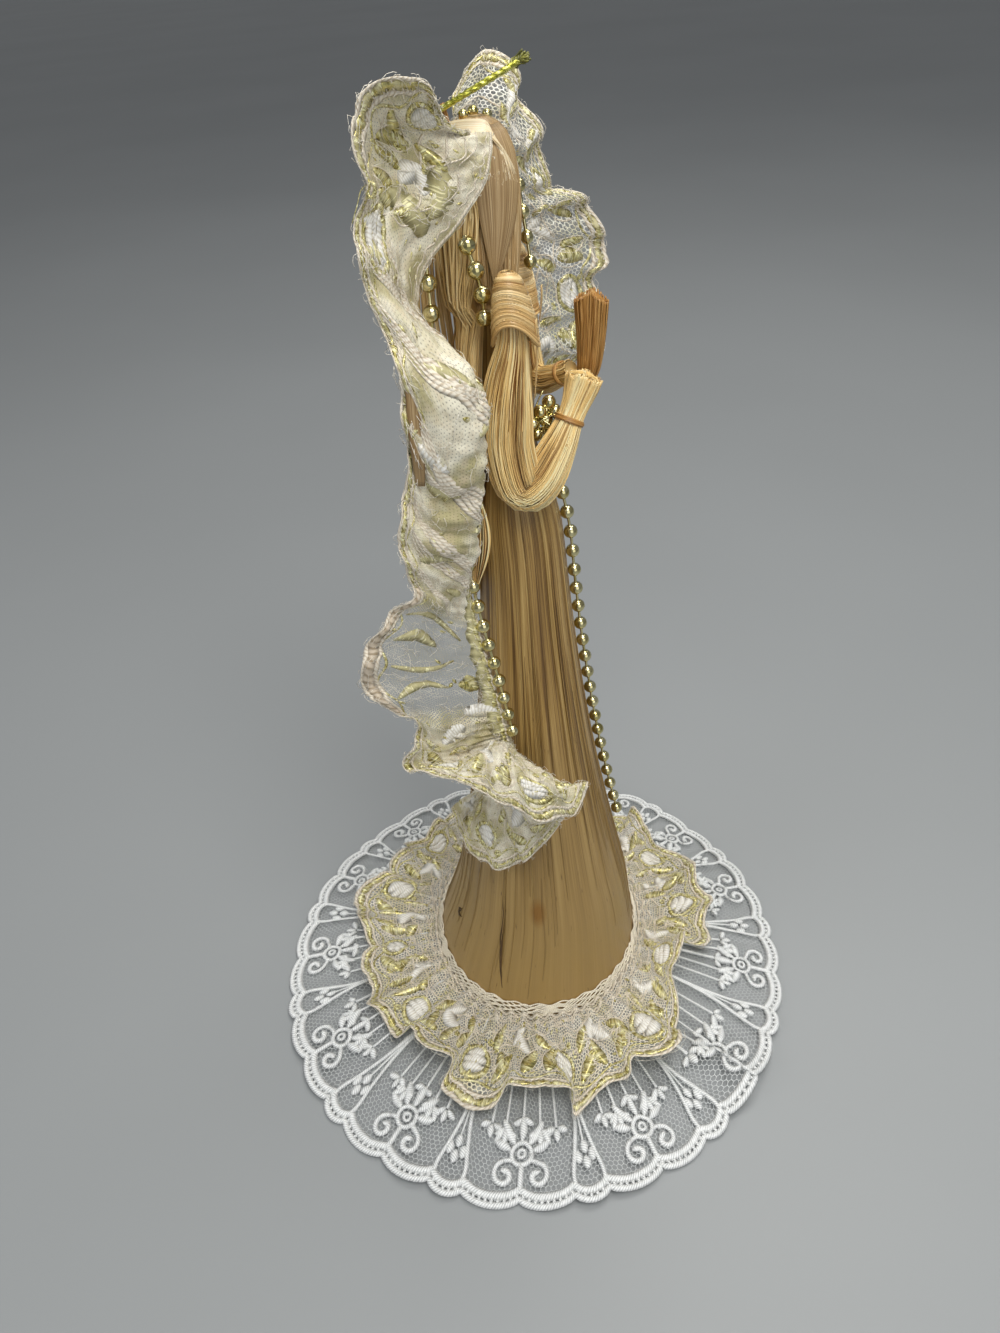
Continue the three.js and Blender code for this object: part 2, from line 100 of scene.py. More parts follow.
class Shape:
    # gathers the points and faces of one piece
    def __init__(self):
        self.points, self.quads, self.uvs, self.caps = [], [], [], []
        self.count = 0

    def add(self, points):
        start = self.count
        points = np.asarray(points, float).reshape(-1, 3)
        self.points.append(points)
        self.count += len(points)
        return start

    def grid(self, points, us, vs, wrapU=False, wrapV=False):
        nu, nv = points.shape[:2]
        start = self.add(points)
        i, j = np.meshgrid(np.arange(nu - (not wrapU)), np.arange(nv - (not wrapV)), indexing="ij")
        iNext, jNext = (i + 1) % nu, (j + 1) % nv
        quads = [i * nv + j, iNext * nv + j, iNext * nv + jNext, i * nv + jNext]
        self.quads.append(start + np.stack(quads, -1).reshape(-1, 4))
        us, vs = np.asarray(us, float), np.asarray(vs, float)
        corners = [(us[i], vs[j]), (us[i + 1], vs[j]), (us[i + 1], vs[j + 1]), (us[i], vs[j + 1])]
        self.uvs.append(np.stack([np.stack(c, -1) for c in corners], 2).reshape(-1, 2))
        return start

    def closeEnds(self, start, columns, rows):
        # one face over each open end of a grid that is wrapped round
        first = [start + i * rows for i in range(columns)]
        self.caps.append(first)
        self.caps.append([corner + rows - 1 for corner in first][::-1])

    def strands(self, lines, radius, outward, sides=4, flat=1.0, shift=None):
        # closed tubes along many lines at once; flat squeezes them towards the surface that they lie on
        lines = np.asarray(lines, float)
        count, steps = lines.shape[:2]
        radius = np.broadcast_to(radius, (count, steps))
        tangent = unit(np.gradient(lines, axis=1))
        side = unit(np.cross(tangent, np.broadcast_to(outward, lines.shape)))
        up = np.cross(side, tangent)
        turn = np.arange(sides) / sides * tau
        around = side[:, :, None] * np.cos(turn)[:, None] + flat * up[:, :, None] * np.sin(turn)[:, None]
        start = self.add(lines[:, :, None] + radius[:, :, None, None] * around)
        s, i, j = np.meshgrid(np.arange(count), np.arange(steps - 1), np.arange(sides), indexing="ij")
        at = lambda row, column: start + (s * steps + row) * sides + column % sides
        quads = [at(i, j), at(i, j + 1), at(i + 1, j + 1), at(i + 1, j)]
        self.quads.append(np.stack(quads, -1).reshape(-1, 4))
        run = np.cumsum(np.linalg.norm(np.diff(lines, axis=1, prepend=lines[:, :1]), axis=2), axis=1)
        shift = np.arange(count) * 3.7 if shift is None else shift
        wide = float(np.mean(radius)) * tau / sides
        u, v = shift[s] + j * wide, lambda row: run[s, row]
        corners = [(u, v(i)), (u + wide, v(i)), (u + wide, v(i + 1)), (u, v(i + 1))]
        self.uvs.append(np.stack([np.stack(c, -1) for c in corners], 3).reshape(-1, 2))
        for k in range(count):
            first, last = start + k * steps * sides, start + (k * steps + steps - 1) * sides
            self.caps.append(list(range(first, first + sides))[::-1])
            self.caps.append(list(range(last, last + sides)))

    def make(self, name, material, slot, replaces=()):
        points = (np.vstack(self.points) + stand) * 0.001
        assert np.isfinite(points).all(), f"{name} has a point without a place"
        mesh = bpy.data.meshes.new(name)
        mesh.from_pydata(points.tolist(), [], np.vstack(self.quads).tolist() + self.caps)
        flatMap = np.zeros((len(mesh.loops), 2))
        uvs = np.vstack(self.uvs)
        flatMap[: len(uvs)] = uvs
        mesh.uv_layers.new(name="flat").data.foreach_set("uv", flatMap.ravel())
        mesh.polygons.foreach_set("use_smooth", np.ones(len(mesh.polygons), bool))
        mesh.materials.append(material)
        piece = bpy.data.objects.new(name, mesh)
        link(piece)
        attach(piece, "root")
        if replaces:
            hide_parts(*replaces)
        print(f"{name}: {len(mesh.polygons)} faces")
        return piece


# Camera, floor and light

view = {
    "turn": 18,  # degrees from the figure's right side towards its front
    "pitch": 38,
    "roll": 5,
    "away": 169.04,
    "aside": -4.16,
    "height": 224.32,
    "lens": 25.98,
    "sensor": 36,
    "nearest": 0.01,  # metres
    "wide": 1000,  # the photo's pixels
    "high": 1333,
}


def viewFrame():
    turn, pitch, roll = (math.radians(view[k]) for k in ("turn", "pitch", "roll"))
    out = Vector((-math.cos(turn), -math.sin(turn), 0))
    aside = Vector((math.sin(turn), -math.cos(turn), 0))
    look = -out * math.cos(pitch) - Vector((0, 0, math.sin(pitch)))
    level = aside.cross(look)
    right = aside * math.cos(roll) - level * math.sin(roll)
    up = level * math.cos(roll) + aside * math.sin(roll)
    return right, up, look, out * view["away"] + aside * view["aside"] + Vector((0, 0, view["height"]))


def fromPhoto(px, py, x):
    # the place that the photo shows at a pixel, on the upright plane x millimetres to the figure's left
    right, up, look, eye = (np.array(v) for v in viewFrame())
    focal = view["lens"] / view["sensor"] * view["high"]
    ray = look + right * (px - view["wide"] / 2) / focal - up * (py - view["high"] / 2) / focal
    return eye + ray * (x - eye[0]) / ray[0]


def addCamera():
    right, up, look, place = viewFrame()
    data = bpy.data.cameras.new("camera")
    data.sensor_width = view["sensor"]
    data.lens = view["lens"]
    data.clip_start = view["nearest"]
    eye = bpy.data.objects.new("camera", data)
    eye.matrix_world = Matrix((right, up, -look)).transposed().to_4x4()
    eye.location = (place + Vector(stand)) * 0.001
    link(eye)
    bpy.context.scene.camera = eye


room = {
    "aim": (0, 0, 0.08), "air": (0.80, 0.82, 0.84, 1), "airStrength": 0.28,
    "floor": (0.35, 0.365, 0.37), "floorRoughness": 0.5, "floorReach": 60, "floorHeight": -0.0002,
}
lights = {
    "ceiling": {"place": (0.34, -0.10, 0.84), "size": 0.5, "power": 2.85, "colour": (1.0, 0.99, 0.96)},
    "front": {"place": (-0.15, -0.13, 0.50), "size": 0.2, "power": 1.25, "colour": (1.0, 0.985, 0.95)},
    "window": {"place": (-0.55, 0.75, 0.6), "size": 0.7, "power": 2.2, "colour": (0.97, 0.98, 1.0)},
    "side": {"place": (-0.8, -0.65, 0.4), "size": 0.8, "power": 2.2, "colour": (0.97, 0.98, 1.0)},
}


def addLights():
    for name, light in lights.items():
        data = bpy.data.lights.new(name, "AREA")
        data.size = light["size"]
        data.energy = light["power"]
        data.color = light["colour"]
        lamp = bpy.data.objects.new(name, data)
        lamp.location = light["place"]
        lamp.rotation_euler = (Vector(room["aim"]) - lamp.location).to_track_quat("-Z", "Y").to_euler()
        link(lamp)
    world = bpy.data.worlds.new("studio")
    world.use_nodes = True
    air = world.node_tree.nodes["Background"].inputs
    air["Color"].default_value = room["air"]
    air["Strength"].default_value = room["airStrength"]
    bpy.context.scene.world = world
    bpy.context.scene.view_settings.view_transform = "Standard"


def addFloor():
    mesh = bpy.data.meshes.new("floor")
    far = room["floorReach"]
    mesh.from_pydata([(-far, -far, 0), (far, -far, 0), (far, far, 0), (-far, far, 0)], [], [(0, 1, 2, 3)])
    floor = bpy.data.objects.new("floor", mesh)
    floor.location.z = room["floorHeight"]
    link(floor)
    mesh.materials.append(plainMaterial("floorPaint", room["floor"], room["floorRoughness"]))


# Shader helpers

class Wires:
    # puts nodes in a tree and joins them
    def __init__(self, tree):
        self.nodes, self.links = tree.nodes, tree.links

    def join(self, source, target):
        if hasattr(source, "is_output"):
            self.links.new(source, target)
        else:
            target.default_value = source

    def put(self, kind, inputs=None, **settings):
        node = self.nodes.new("ShaderNode" + kind)
        for name, value in settings.items():
            setattr(node, name, value)
        self.fill(node, inputs or {})
        return node

    def fill(self, node, inputs):
        for name, value in inputs.items():
            self.join(value, node.inputs[name])

    def sum(self, operation, a, b=0.0, c=0.0):
        return self.put("Math", {0: a, 1: b, 2: c}, operation=operation).outputs[0]

    def vector(self, operation, a, b=(0, 0, 0), output=0):
        return self.put("VectorMath", {0: a, 1: b}, operation=operation).outputs[output]

    def flatPlace(self):
        # a point's place on the piece's flat map, in millimetres
        return self.put("UVMap", uv_map="flat").outputs["UV"]

    def noise(self, place, scale, detail, roughness=0.5, output=0):
        values = {"Vector": place, "Scale": scale, "Detail": detail, "Roughness": roughness}
        return self.put("TexNoise", values).outputs[output]

    def span(self, value, low, high, least=0.0, most=1.0, **settings):
        # goes from least, where the value is low, to most, where it is high
        values = {"Value": value, "From Min": low, "From Max": high, "To Min": least, "To Max": most}
        return self.put("MapRange", values, **settings).outputs[0]

    def lift(self, height, strength, distance, skin):
        bump = self.put("Bump", {"Height": height, "Strength": strength, "Distance": distance})
        self.join(bump.outputs[0], skin.inputs["Normal"])

    def ramp(self, factor, stops):
        node = self.put("ValToRGB", {"Fac": factor})
        ramp = node.color_ramp
        while len(ramp.elements) < len(stops):
            ramp.elements.new(0.5)
        for element, (place, colour) in zip(ramp.elements, stops):
            element.position = place
            element.color = (*colour, 1)
        return node.outputs["Color"]

    def mix(self, factor, a, b):
        node = self.put("Mix", data_type="RGBA")
        for key, value in zip((0, 6, 7), (factor, a, b)):
            self.join(value, node.inputs[key])
        return node.outputs[2]


def startGroup(name, inputs, outputs):
    tree = bpy.data.node_groups.new(name, "ShaderNodeTree")
    for label, kind, value in inputs:
        socket = tree.interface.new_socket(name=label, in_out="INPUT", socket_type="NodeSocket" + kind)
        socket.default_value = value
    for label, kind in outputs:
        tree.interface.new_socket(name=label, in_out="OUTPUT", socket_type="NodeSocket" + kind)
    wires = Wires(tree)
    given = tree.nodes.new("NodeGroupInput").outputs
    result = tree.nodes.new("NodeGroupOutput").inputs
    return tree, wires, given, result


streaks = {
    "broad": (0.16, 0.6, 1), "broadShare": 0.75,  # how far each set is stretched, and its share of the tone
    "fineShare": 0.75, "fineRoughness": 0.65,
    "hair": (3.4, 1.5, 1), "hairShare": 0.35,
    "hairHeight": 0.5, "dull": 0.25,
}


def fibreGroup():
    # long streaks along the fibre, in three colours, with a fine combed height
    tree, wires, given, result = startGroup(
        "fibreStreaks",
        [("Across", "Float", 3.0), ("Along", "Float", 0.05), ("Dark", "Color", (0, 0, 0, 1)),
         ("Middle", "Color", (0, 0, 0, 1)), ("Light", "Color", (0, 0, 0, 1)), ("Shade", "Float", 0.5),
         ("Low", "Float", 0.72), ("High", "Float", 1.12)],
        [("Color", "Color"), ("Height", "Float"), ("Roughness", "Float")],
    )
    scale = wires.put("CombineXYZ", {"X": given["Across"], "Y": given["Along"]}).outputs[0]
    along = wires.vector("MULTIPLY", wires.flatPlace(), scale)
    broad = wires.noise(wires.vector("MULTIPLY", along, streaks["broad"]), 1, 3)
    fine = wires.noise(along, 1, 4, streaks["fineRoughness"])
    hair = wires.noise(wires.vector("MULTIPLY", along, streaks["hair"]), 1, 2)
    tone = wires.sum("MULTIPLY", fine, streaks["fineShare"])
    tone = wires.sum("MULTIPLY_ADD", broad, streaks["broadShare"], tone)
    tone = wires.sum("MULTIPLY_ADD", hair, streaks["hairShare"], tone)
    tone = wires.span(tone, given["Low"], given["High"])
    lowerHalf = wires.sum("SMOOTH_MIN", wires.sum("MULTIPLY", tone, 2.0), 1.0, 0.2)
    lower = wires.mix(lowerHalf, given["Dark"], given["Middle"])
    upperHalf = wires.span(tone, 0.5, 1.0)
    wires.join(wires.mix(upperHalf, lower, given["Light"]), result["Color"])
    wires.join(wires.sum("MULTIPLY_ADD", hair, streaks["hairHeight"], fine), result["Height"])
    wires.join(wires.sum("MULTIPLY_ADD", fine, streaks["dull"], given["Shade"]), result["Roughness"])
    return tree


netHole = {
    # a six-sided cell's height against its width, and its slanted side
    "tall": 1.732, "slope": (0.5, 0.866, 0),
    "bendSize": 0.35, "fuzzSize": 2.6, "thin": 0.7, "thick": 0.6, "inner": 0.6, "outer": 1.4,
    "fuzzFrom": 0.45, "fuzzTo": 0.62,
}


def netGroup():
    # six-sided net holes; the mask is 1 on the thread
    tree, wires, given, result = startGroup(
        "netHoles",
        [("Cell", "Float", 1.0), ("Thread", "Float", 0.15), ("Fuzz", "Float", 0.0), ("Bend", "Float", 0.1)],
        [("Mask", "Float"), ("Height", "Float")],
    )
    place = wires.flatPlace()
    bend = wires.noise(place, netHole["bendSize"], 2, output="Color")
    bend = wires.vector("SCALE", wires.vector("SUBTRACT", bend, (0.5, 0.5, 0.5)))
    wires.join(given["Bend"], bend.node.inputs["Scale"])
    size = wires.put("CombineXYZ", {"X": given["Cell"], "Y": given["Cell"], "Z": 1.0}).outputs[0]
    spot = wires.vector("ADD", wires.vector("DIVIDE", place, size), bend)
    spot = wires.vector("DIVIDE", spot, (1, netHole["tall"], 1))
    halves = []
    for shift in (0.0, 0.5):
        cell = wires.vector("FRACTION", wires.vector("ADD", spot, (shift, shift, 0)))
        cell = wires.vector("SUBTRACT", cell, (0.5, 0.5, 0))
        halves.append(wires.vector("MULTIPLY", cell, (1, netHole["tall"], 0)))
    lengths = [wires.vector("LENGTH", half, output=1) for half in halves]
    nearer = wires.sum("LESS_THAN", lengths[0], lengths[1])
    middle = wires.put("Mix", {"Factor": nearer}, data_type="VECTOR")
    wires.join(halves[1], middle.inputs[4])
    wires.join(halves[0], middle.inputs[5])
    inCell = wires.vector("ABSOLUTE", middle.outputs[1])
    slanted = wires.vector("DOT_PRODUCT", inCell, netHole["slope"], output=1)
    flatSide = wires.vector("DOT_PRODUCT", inCell, (1, 0, 0), output=1)
    rim = wires.sum("SUBTRACT", 0.5, wires.sum("MAXIMUM", slanted, flatSide))
    half = wires.sum("DIVIDE", given["Thread"], wires.sum("MULTIPLY", given["Cell"], 2.0))
    fuzz = wires.noise(place, netHole["fuzzSize"], 5, 0.8)
    uneven = wires.sum("ADD", netHole["thin"], wires.sum("MULTIPLY", fuzz, netHole["thick"]))
    half = wires.sum("MULTIPLY", half, uneven)
    inner = wires.sum("MULTIPLY", half, netHole["inner"])
    outer = wires.sum("MULTIPLY", half, netHole["outer"])
    thread = wires.span(rim, inner, outer, 1.0, 0.0, interpolation_type="SMOOTHSTEP")
    loose = wires.span(fuzz, netHole["fuzzFrom"], netHole["fuzzTo"])
    wires.join(wires.sum("MAXIMUM", thread, wires.sum("MULTIPLY", loose, given["Fuzz"])), result["Mask"])
    wires.join(thread, result["Height"])
    return tree


def stitchGroup():
    # satin stitches across a thread, with a soft change of tone: the grooves between stitches take the Shadow
    # colour, which is painted shade
    roughSize, ridge, toneFrom, toneTo = 1.6, 0.35, 0.15, 0.6
    tree, wires, given, result = startGroup(
        "satinStitch",
        [("Spacing", "Float", 0.3), ("Slant", "Float", 1.0), ("Base", "Color", (1, 1, 1, 1)),
         ("Shadow", "Color", (0, 0, 0, 1))],
        [("Color", "Color"), ("Height", "Float")],
    )
    place = wires.flatPlace()
    parts = wires.put("SeparateXYZ", {"Vector": place}).outputs
    run = wires.sum("MULTIPLY_ADD", parts["X"], given["Slant"], parts["Y"])
    wave = wires.sum("SINE", wires.sum("MULTIPLY", wires.sum("DIVIDE", run, given["Spacing"]), tau))
    height = wires.sum("MULTIPLY_ADD", wave, ridge, wires.noise(place, roughSize, 3))
    tone = wires.span(height, toneFrom, toneTo)
    wires.join(wires.mix(tone, given["Shadow"], given["Base"]), result["Color"])
    wires.join(height, result["Height"])
    return tree


glitter = {
    "patchSize": 0.9, "patchRoughness": 0.7,
    "goldFrom": 0.94, "goldTo": 1.10,  # the cover is taken off these two
    "sparkFrom": 0.84, "sparkTo": 0.9, "metal": 0.75, "sparkMetal": -0.6, "gloss": 0.2, "dull": 0.2,
}


def glitterGroup():
    # flecks of bright metal thread among paler ones, with a few painted glints: small flecks of a bright pale
    # colour, less metallic than the rest, stand in for highlights
    tree, wires, given, result = startGroup(
        "goldFlecks",
        [("Size", "Float", 0.35), ("PaintedGlint", "Color", (1, 1, 1, 1)), ("Bright", "Color", (1, 1, 1, 1)),
         ("Deep", "Color", (0, 0, 0, 1)), ("Pale", "Color", (1, 1, 1, 1)), ("Cover", "Float", 0.5)],
        [("Color", "Color"), ("Height", "Float"), ("Metal", "Float"), ("Roughness", "Float")],
    )
    place = wires.flatPlace()
    scale = wires.sum("DIVIDE", 1.0, given["Size"])
    fleck = wires.put("TexVoronoi", {"Vector": place, "Scale": scale})
    patch = wires.noise(place, glitter["patchSize"], 4, glitter["patchRoughness"])
    low = wires.sum("SUBTRACT", glitter["goldFrom"], given["Cover"])
    high = wires.sum("SUBTRACT", glitter["goldTo"], given["Cover"])
    gold = wires.span(patch, low, high)
    pick = wires.put("SeparateColor", {"Color": fleck.outputs["Color"]}).outputs[0]
    metal = wires.mix(pick, given["Deep"], given["Bright"])
    metal = wires.mix(gold, given["Pale"], metal)
    # the painted glints: a bright colour put on a few flecks in place of highlights
    paintedGlint = wires.span(pick, glitter["sparkFrom"], glitter["sparkTo"])
    wires.join(wires.mix(paintedGlint, metal, given["PaintedGlint"]), result["Color"])
    wires.join(pick, result["Height"])
    shine = wires.sum("MULTIPLY_ADD", paintedGlint, glitter["sparkMetal"], glitter["metal"])
    wires.join(wires.sum("MULTIPLY", gold, shine), result["Metal"])
    wires.join(wires.sum("MULTIPLY_ADD", pick, glitter["dull"], glitter["gloss"]), result["Roughness"])
    return tree


groups = {"fibre": fibreGroup(), "net": netGroup(), "stitch": stitchGroup(), "glitter": glitterGroup()}


def startMaterial(name):
    material = bpy.data.materials.new(name)
    material.use_nodes = True
    wires = Wires(material.node_tree)
    return material, wires, material.node_tree.nodes["Principled BSDF"]


def placeGroup(wires, kind, values):
    node = wires.put("Group", node_tree=groups[kind])
    for label, value in values.items():
        node.inputs[label].default_value = (*value, 1) if isinstance(value, tuple) else value
    return node.outputs


def plainMaterial(name, colour, roughness, shade=0.94):
    material, wires, skin = startMaterial(name)
    cloud = wires.noise(wires.put("TexCoord").outputs["Object"], 3, 4)
    darker = tuple(c * shade for c in colour)
    tone = wires.ramp(cloud, [(0.35, darker), (0.65, colour)])
    wires.fill(skin, {"Base Color": tone, "Roughness": roughness})
    return material


# The gown near its hem: smoother and paler fibre, sparse dark dashes and one old amber stain, in metres
gownFoot = {
    "colour": (0.35, 0.225, 0.075), "top": 0.095, "bottom": 0.02, "cover": 0.9,
    "dash": (0.075, 0.034, 0.006), "dashStretch": (1.1, 0.2, 1), "dashSpan": (0.67, 0.75), "dashCover": 0.75,
    "stain": (0.24, 0.10, 0.008), "stainPlace": (-0.0101, -0.0057, 0.033), "stainSquash": (1, 1, 0.45),
    "stainSpan": (0.0024, 0.0008), "stainCover": 0.8,
}


def paintFoot(wires, colour, foot):
    place = wires.put("TexCoord").outputs["Object"]
    height = wires.put("SeparateXYZ", {"Vector": place}).outputs["Z"]
    smooth = wires.span(height, foot["top"], foot["bottom"], 0.0, foot["cover"])
    colour = wires.mix(smooth, colour, (*foot["colour"], 1))
    dash = wires.noise(wires.vector("MULTIPLY", wires.flatPlace(), foot["dashStretch"]), 1, 2)
    dash = wires.span(dash, *foot["dashSpan"], 0.0, foot["dashCover"])
    colour = wires.mix(dash, colour, (*foot["dash"], 1))
    apart = wires.vector("MULTIPLY", wires.vector("SUBTRACT", place, foot["stainPlace"]), foot["stainSquash"])
    stain = wires.span(wires.vector("LENGTH", apart, output=1), *foot["stainSpan"])
    return wires.mix(wires.sum("MULTIPLY", stain, foot["stainCover"]), colour, (*foot["stain"], 1))


def fibreMaterial(name, dark, middle, light, across=1.6, along=0.03, shade=0.26, bump=0.25, coat=0.0,
                  low=0.72, high=1.12, foot=None):
    material, wires, skin = startMaterial(name)
    values = {"Across": across, "Along": along, "Dark": dark, "Middle": middle, "Light": light,
              "Shade": shade, "Low": low, "High": high}
    out = placeGroup(wires, "fibre", values)
    colour = paintFoot(wires, out["Color"], foot) if foot else out["Color"]
    wires.fill(skin, {"Base Color": colour, "Roughness": out["Roughness"], "Coat Weight": coat,
                      "Coat Roughness": 0.35})
    wires.lift(out["Height"], bump, 0.0002, skin)
    return material


# The net's threads painted darker at their edges (painted shade on their round sides), soft patches of a
# second colour on the net, duller worn spots, and what is left where it is bare
wornNet = {
    "edge": 0.86, "patchSize": 0.13, "patchSpan": (0.44, 0.60), "patchCover": 0.9,
    "wornSize": 0.4, "wornSpan": (0.46, 0.66), "wornCover": 0.65, "wornShade": (0.72, 0.62, 0.52),
    "bareThread": 0.04, "bareFuzz": 0.1, "bareFade": 4, "feltSize": 1.1, "felt": 2.2,
}


def netMaterial(name, colour, cell, thread, fuzz, bend, patch=None, thin=None):
    material, wires, skin = startMaterial(name)
    out = placeGroup(wires, "net", {"Cell": cell, "Thread": thread, "Fuzz": fuzz, "Bend": bend})
    # the threads are painted darker towards their edges: painted shade on their round sides
    tone = wires.ramp(out["Height"], [(0.0, tuple(c * wornNet["edge"] for c in colour)), (1.0, colour)])
    place = wires.flatPlace()
    if patch:
        cloud = wires.noise(place, wornNet["patchSize"], 3)
        cloud = wires.span(cloud, *wornNet["patchSpan"], 0.0, wornNet["patchCover"])
        tone = wires.mix(cloud, tone, (*patch, 1))
        worn = wires.noise(place, wornNet["wornSize"], 6, 0.75)
        worn = wires.span(worn, *wornNet["wornSpan"], 0.0, wornNet["wornCover"])
        tone = wires.mix(worn, tone, (*(c * k for c, k in zip(colour, wornNet["wornShade"])), 1))
    if thin:
        # from one place along the ribbon to another it is bare, thin net
        run, fade = wires.put("SeparateXYZ", {"Vector": place}).outputs["X"], wornNet["bareFade"]
        after = wires.span(run, thin[0] - fade, thin[0] + fade)
        before = wires.span(run, thin[1] + fade, thin[1] - fade)
        bare = wires.sum("MULTIPLY", after, before)
        sockets = out["Mask"].node.inputs
        for label, full, least in (("Thread", thread, "bareThread"), ("Fuzz", fuzz, "bareFuzz")):
            left = wires.sum("MULTIPLY_ADD", bare, wornNet[least] - full, full)
            wires.join(left, sockets[label])
    wires.fill(skin, {"Base Color": tone, "Alpha": out["Mask"], "Roughness": 0.75})
    felt = wires.noise(place, wornNet["feltSize"], 5, 0.7)
    height = wires.sum("MULTIPLY_ADD", felt, wornNet["felt"] if patch else 0.0, out["Height"])
    wires.lift(height, 0.5, 0.00025 if patch else 0.0001, skin)
    return material


def threadMaterial(name, colour, shadow, spacing, roughness=0.6, bump=0.5):
    material, wires, skin = startMaterial(name)
    out = placeGroup(wires, "stitch", {"Spacing": spacing, "Slant": 0.6, "Base": colour, "Shadow": shadow})
    wires.fill(skin, {"Base Color": out["Color"], "Roughness": roughness, "Sheen Weight": 0.2})
    wires.lift(out["Height"], bump, 0.00012, skin)
    return material


# the first colour is that of the painted glints, which stand in for highlights on the metal thread
def metalThreadMaterial(name, paintedGlint, bright, deep, pale, cover, size):
    material, wires, skin = startMaterial(name)
    values = {"Size": size, "PaintedGlint": paintedGlint, "Bright": bright, "Deep": deep, "Pale": pale, "Cover": cover}
    out = placeGroup(wires, "glitter", values)
    wires.fill(skin, {"Base Color": out["Color"], "Metallic": out["Metal"], "Roughness": out["Roughness"]})
    wires.lift(out["Height"], 0.6, 0.00015, skin)
    return material


def beadMaterial(hollow, crest, grain=420):
    # worn mirror-bright plating, a little greener in its hollows
    material, wires, skin = startMaterial("beadPlating")
    worn = wires.noise(wires.put("TexCoord").outputs["Object"], grain, 3)
    tone = wires.ramp(worn, [(0.3, hollow), (0.7, crest)])
    rough = wires.span(worn, 0.0, 1.0, 0.05, 0.2)
    wires.fill(skin, {"Base Color": tone, "Metallic": 1.0, "Roughness": rough})
    return material


paints = {
    "gown": fibreMaterial("gownFibre", (0.10, 0.045, 0.008), (0.34, 0.20, 0.052), (0.56, 0.38, 0.14),
                          2.0, 0.02, shade=0.24, bump=0.3, coat=0.12, low=0.78, high=1.08, foot=gownFoot),
    "mark": fibreMaterial("darkSplit", (0.03, 0.015, 0.004), (0.07, 0.035, 0.01), (0.14, 0.075, 0.02),
                          1.3, 0.3, shade=0.5),
    "pale": fibreMaterial("armFibre", (0.24, 0.10, 0.02), (0.96, 0.66, 0.25), (1.0, 0.90, 0.53),
                          shade=0.14, bump=0.35, coat=0.5, low=0.80, high=1.04),
    "cap": fibreMaterial("capFibre", (0.34, 0.16, 0.04), (0.78, 0.53, 0.22), (0.96, 0.79, 0.47),
                         shade=0.16, bump=0.35, coat=0.35),
    "face": fibreMaterial("headFibre", (0.24, 0.13, 0.045), (0.54, 0.355, 0.155), (0.88, 0.71, 0.42),
                          shade=0.25, bump=0.3, coat=0.1),
    # The lock's paint is darker than the face's: partly the lock's own browner straw, partly painted shade on
    # fibre that hangs upright.
    "lock": fibreMaterial("lockFibreWithPaintedShade", (0.15, 0.08, 0.025), (0.36, 0.235, 0.105), (0.60, 0.45, 0.25),
                          shade=0.28, bump=0.3, coat=0.08),
    # The crown band's paint is paler: partly the band's own paler straw, partly a painted highlight where its
    # fibre faces up.
    "crown": fibreMaterial("crownFibreWithPaintedHighlight", (0.55, 0.37, 0.17), (0.96, 0.80, 0.52), (1.0, 0.95, 0.80),
                           shade=0.18, bump=0.3, coat=0.3),
    "dark": fibreMaterial("handFibre", (0.17, 0.06, 0.009), (0.43, 0.21, 0.05), (0.70, 0.43, 0.15), 2.2, 0.05,
                          bump=0.35),
    "hair": fibreMaterial("hairFibre", (0.36, 0.22, 0.07), (0.84, 0.60, 0.26), (1.0, 0.85, 0.50), 1.8, 0.04,
                          shade=0.24, bump=0.3),
    "bead": beadMaterial((0.50, 0.43, 0.16), (0.80, 0.74, 0.46)),
    "halo": metalThreadMaterial("haloCord", (0.95, 0.95, 0.30), (0.82, 0.80, 0.12), (0.36, 0.36, 0.04),
                                (0.62, 0.57, 0.08), 0.7, 0.3),
    "haloEnd": fibreMaterial("haloEnd", (0.05, 0.05, 0.01), (0.16, 0.16, 0.03), (0.42, 0.40, 0.10),
                             3.0, 0.3, shade=0.3),
    # The white hem net is painted grey: painted shade for the net's shadow on itself and on the floor beneath
    # it.
    "whiteNetPaintedShade": netMaterial("whiteNetPaintedShade", (0.60, 0.62, 0.62), 1.05, 0.13, 0.03, 0.25),
    "whiteThread": threadMaterial("whiteThread", (0.95, 0.96, 0.95), (0.60, 0.62, 0.61), 0.32),
    "creamNet": netMaterial("creamNet", (0.97, 0.92, 0.80), 0.8, 0.22, 0.6, 0.7, (0.80, 0.73, 0.48)),
    "denseNet": netMaterial("denseNet", (0.92, 0.87, 0.70), 0.55, 0.47, 0.95, 2.2, (0.46, 0.41, 0.19),
                            (97, 128)),
    "openNet": netMaterial("openNet", (0.94, 0.94, 0.88), 1.0, 0.26, 0.55, 0.5, (0.74, 0.72, 0.50)),
    "creamThread": threadMaterial("creamThread", (0.86, 0.79, 0.66), (0.62, 0.52, 0.38), 0.5, bump=0.25),
    "roseThread": threadMaterial("roseThread", (0.94, 0.92, 0.86), (0.70, 0.66, 0.56), 0.4, bump=0.2),
    "seam": threadMaterial("hemSeam", (0.95, 0.89, 0.74), (0.78, 0.68, 0.50), 0.5, bump=0.3),
    "fuzz": threadMaterial("laceFuzz", (0.90, 0.86, 0.76), (0.70, 0.63, 0.50), 0.5, bump=0.1),
    "olive": metalThreadMaterial("oliveThread", (0.95, 0.90, 0.55), (0.56, 0.51, 0.22), (0.34, 0.30, 0.11),
                                 (0.54, 0.49, 0.26), 0.3, 0.3),
    "rope": threadMaterial("borderRope", (0.66, 0.56, 0.43), (0.36, 0.28, 0.18), 0.9),
    "goldThread": metalThreadMaterial("goldThread", (1.0, 0.97, 0.58), (0.90, 0.81, 0.34), (0.36, 0.31, 0.09),
                                      (0.70, 0.64, 0.38), 0.54, 0.3),
}


addCamera()
addLights()
addFloor()
print("camera, floor, light and materials are ready")


# Gown: a hollow bell of combed fibre. The sizes are the part's own.

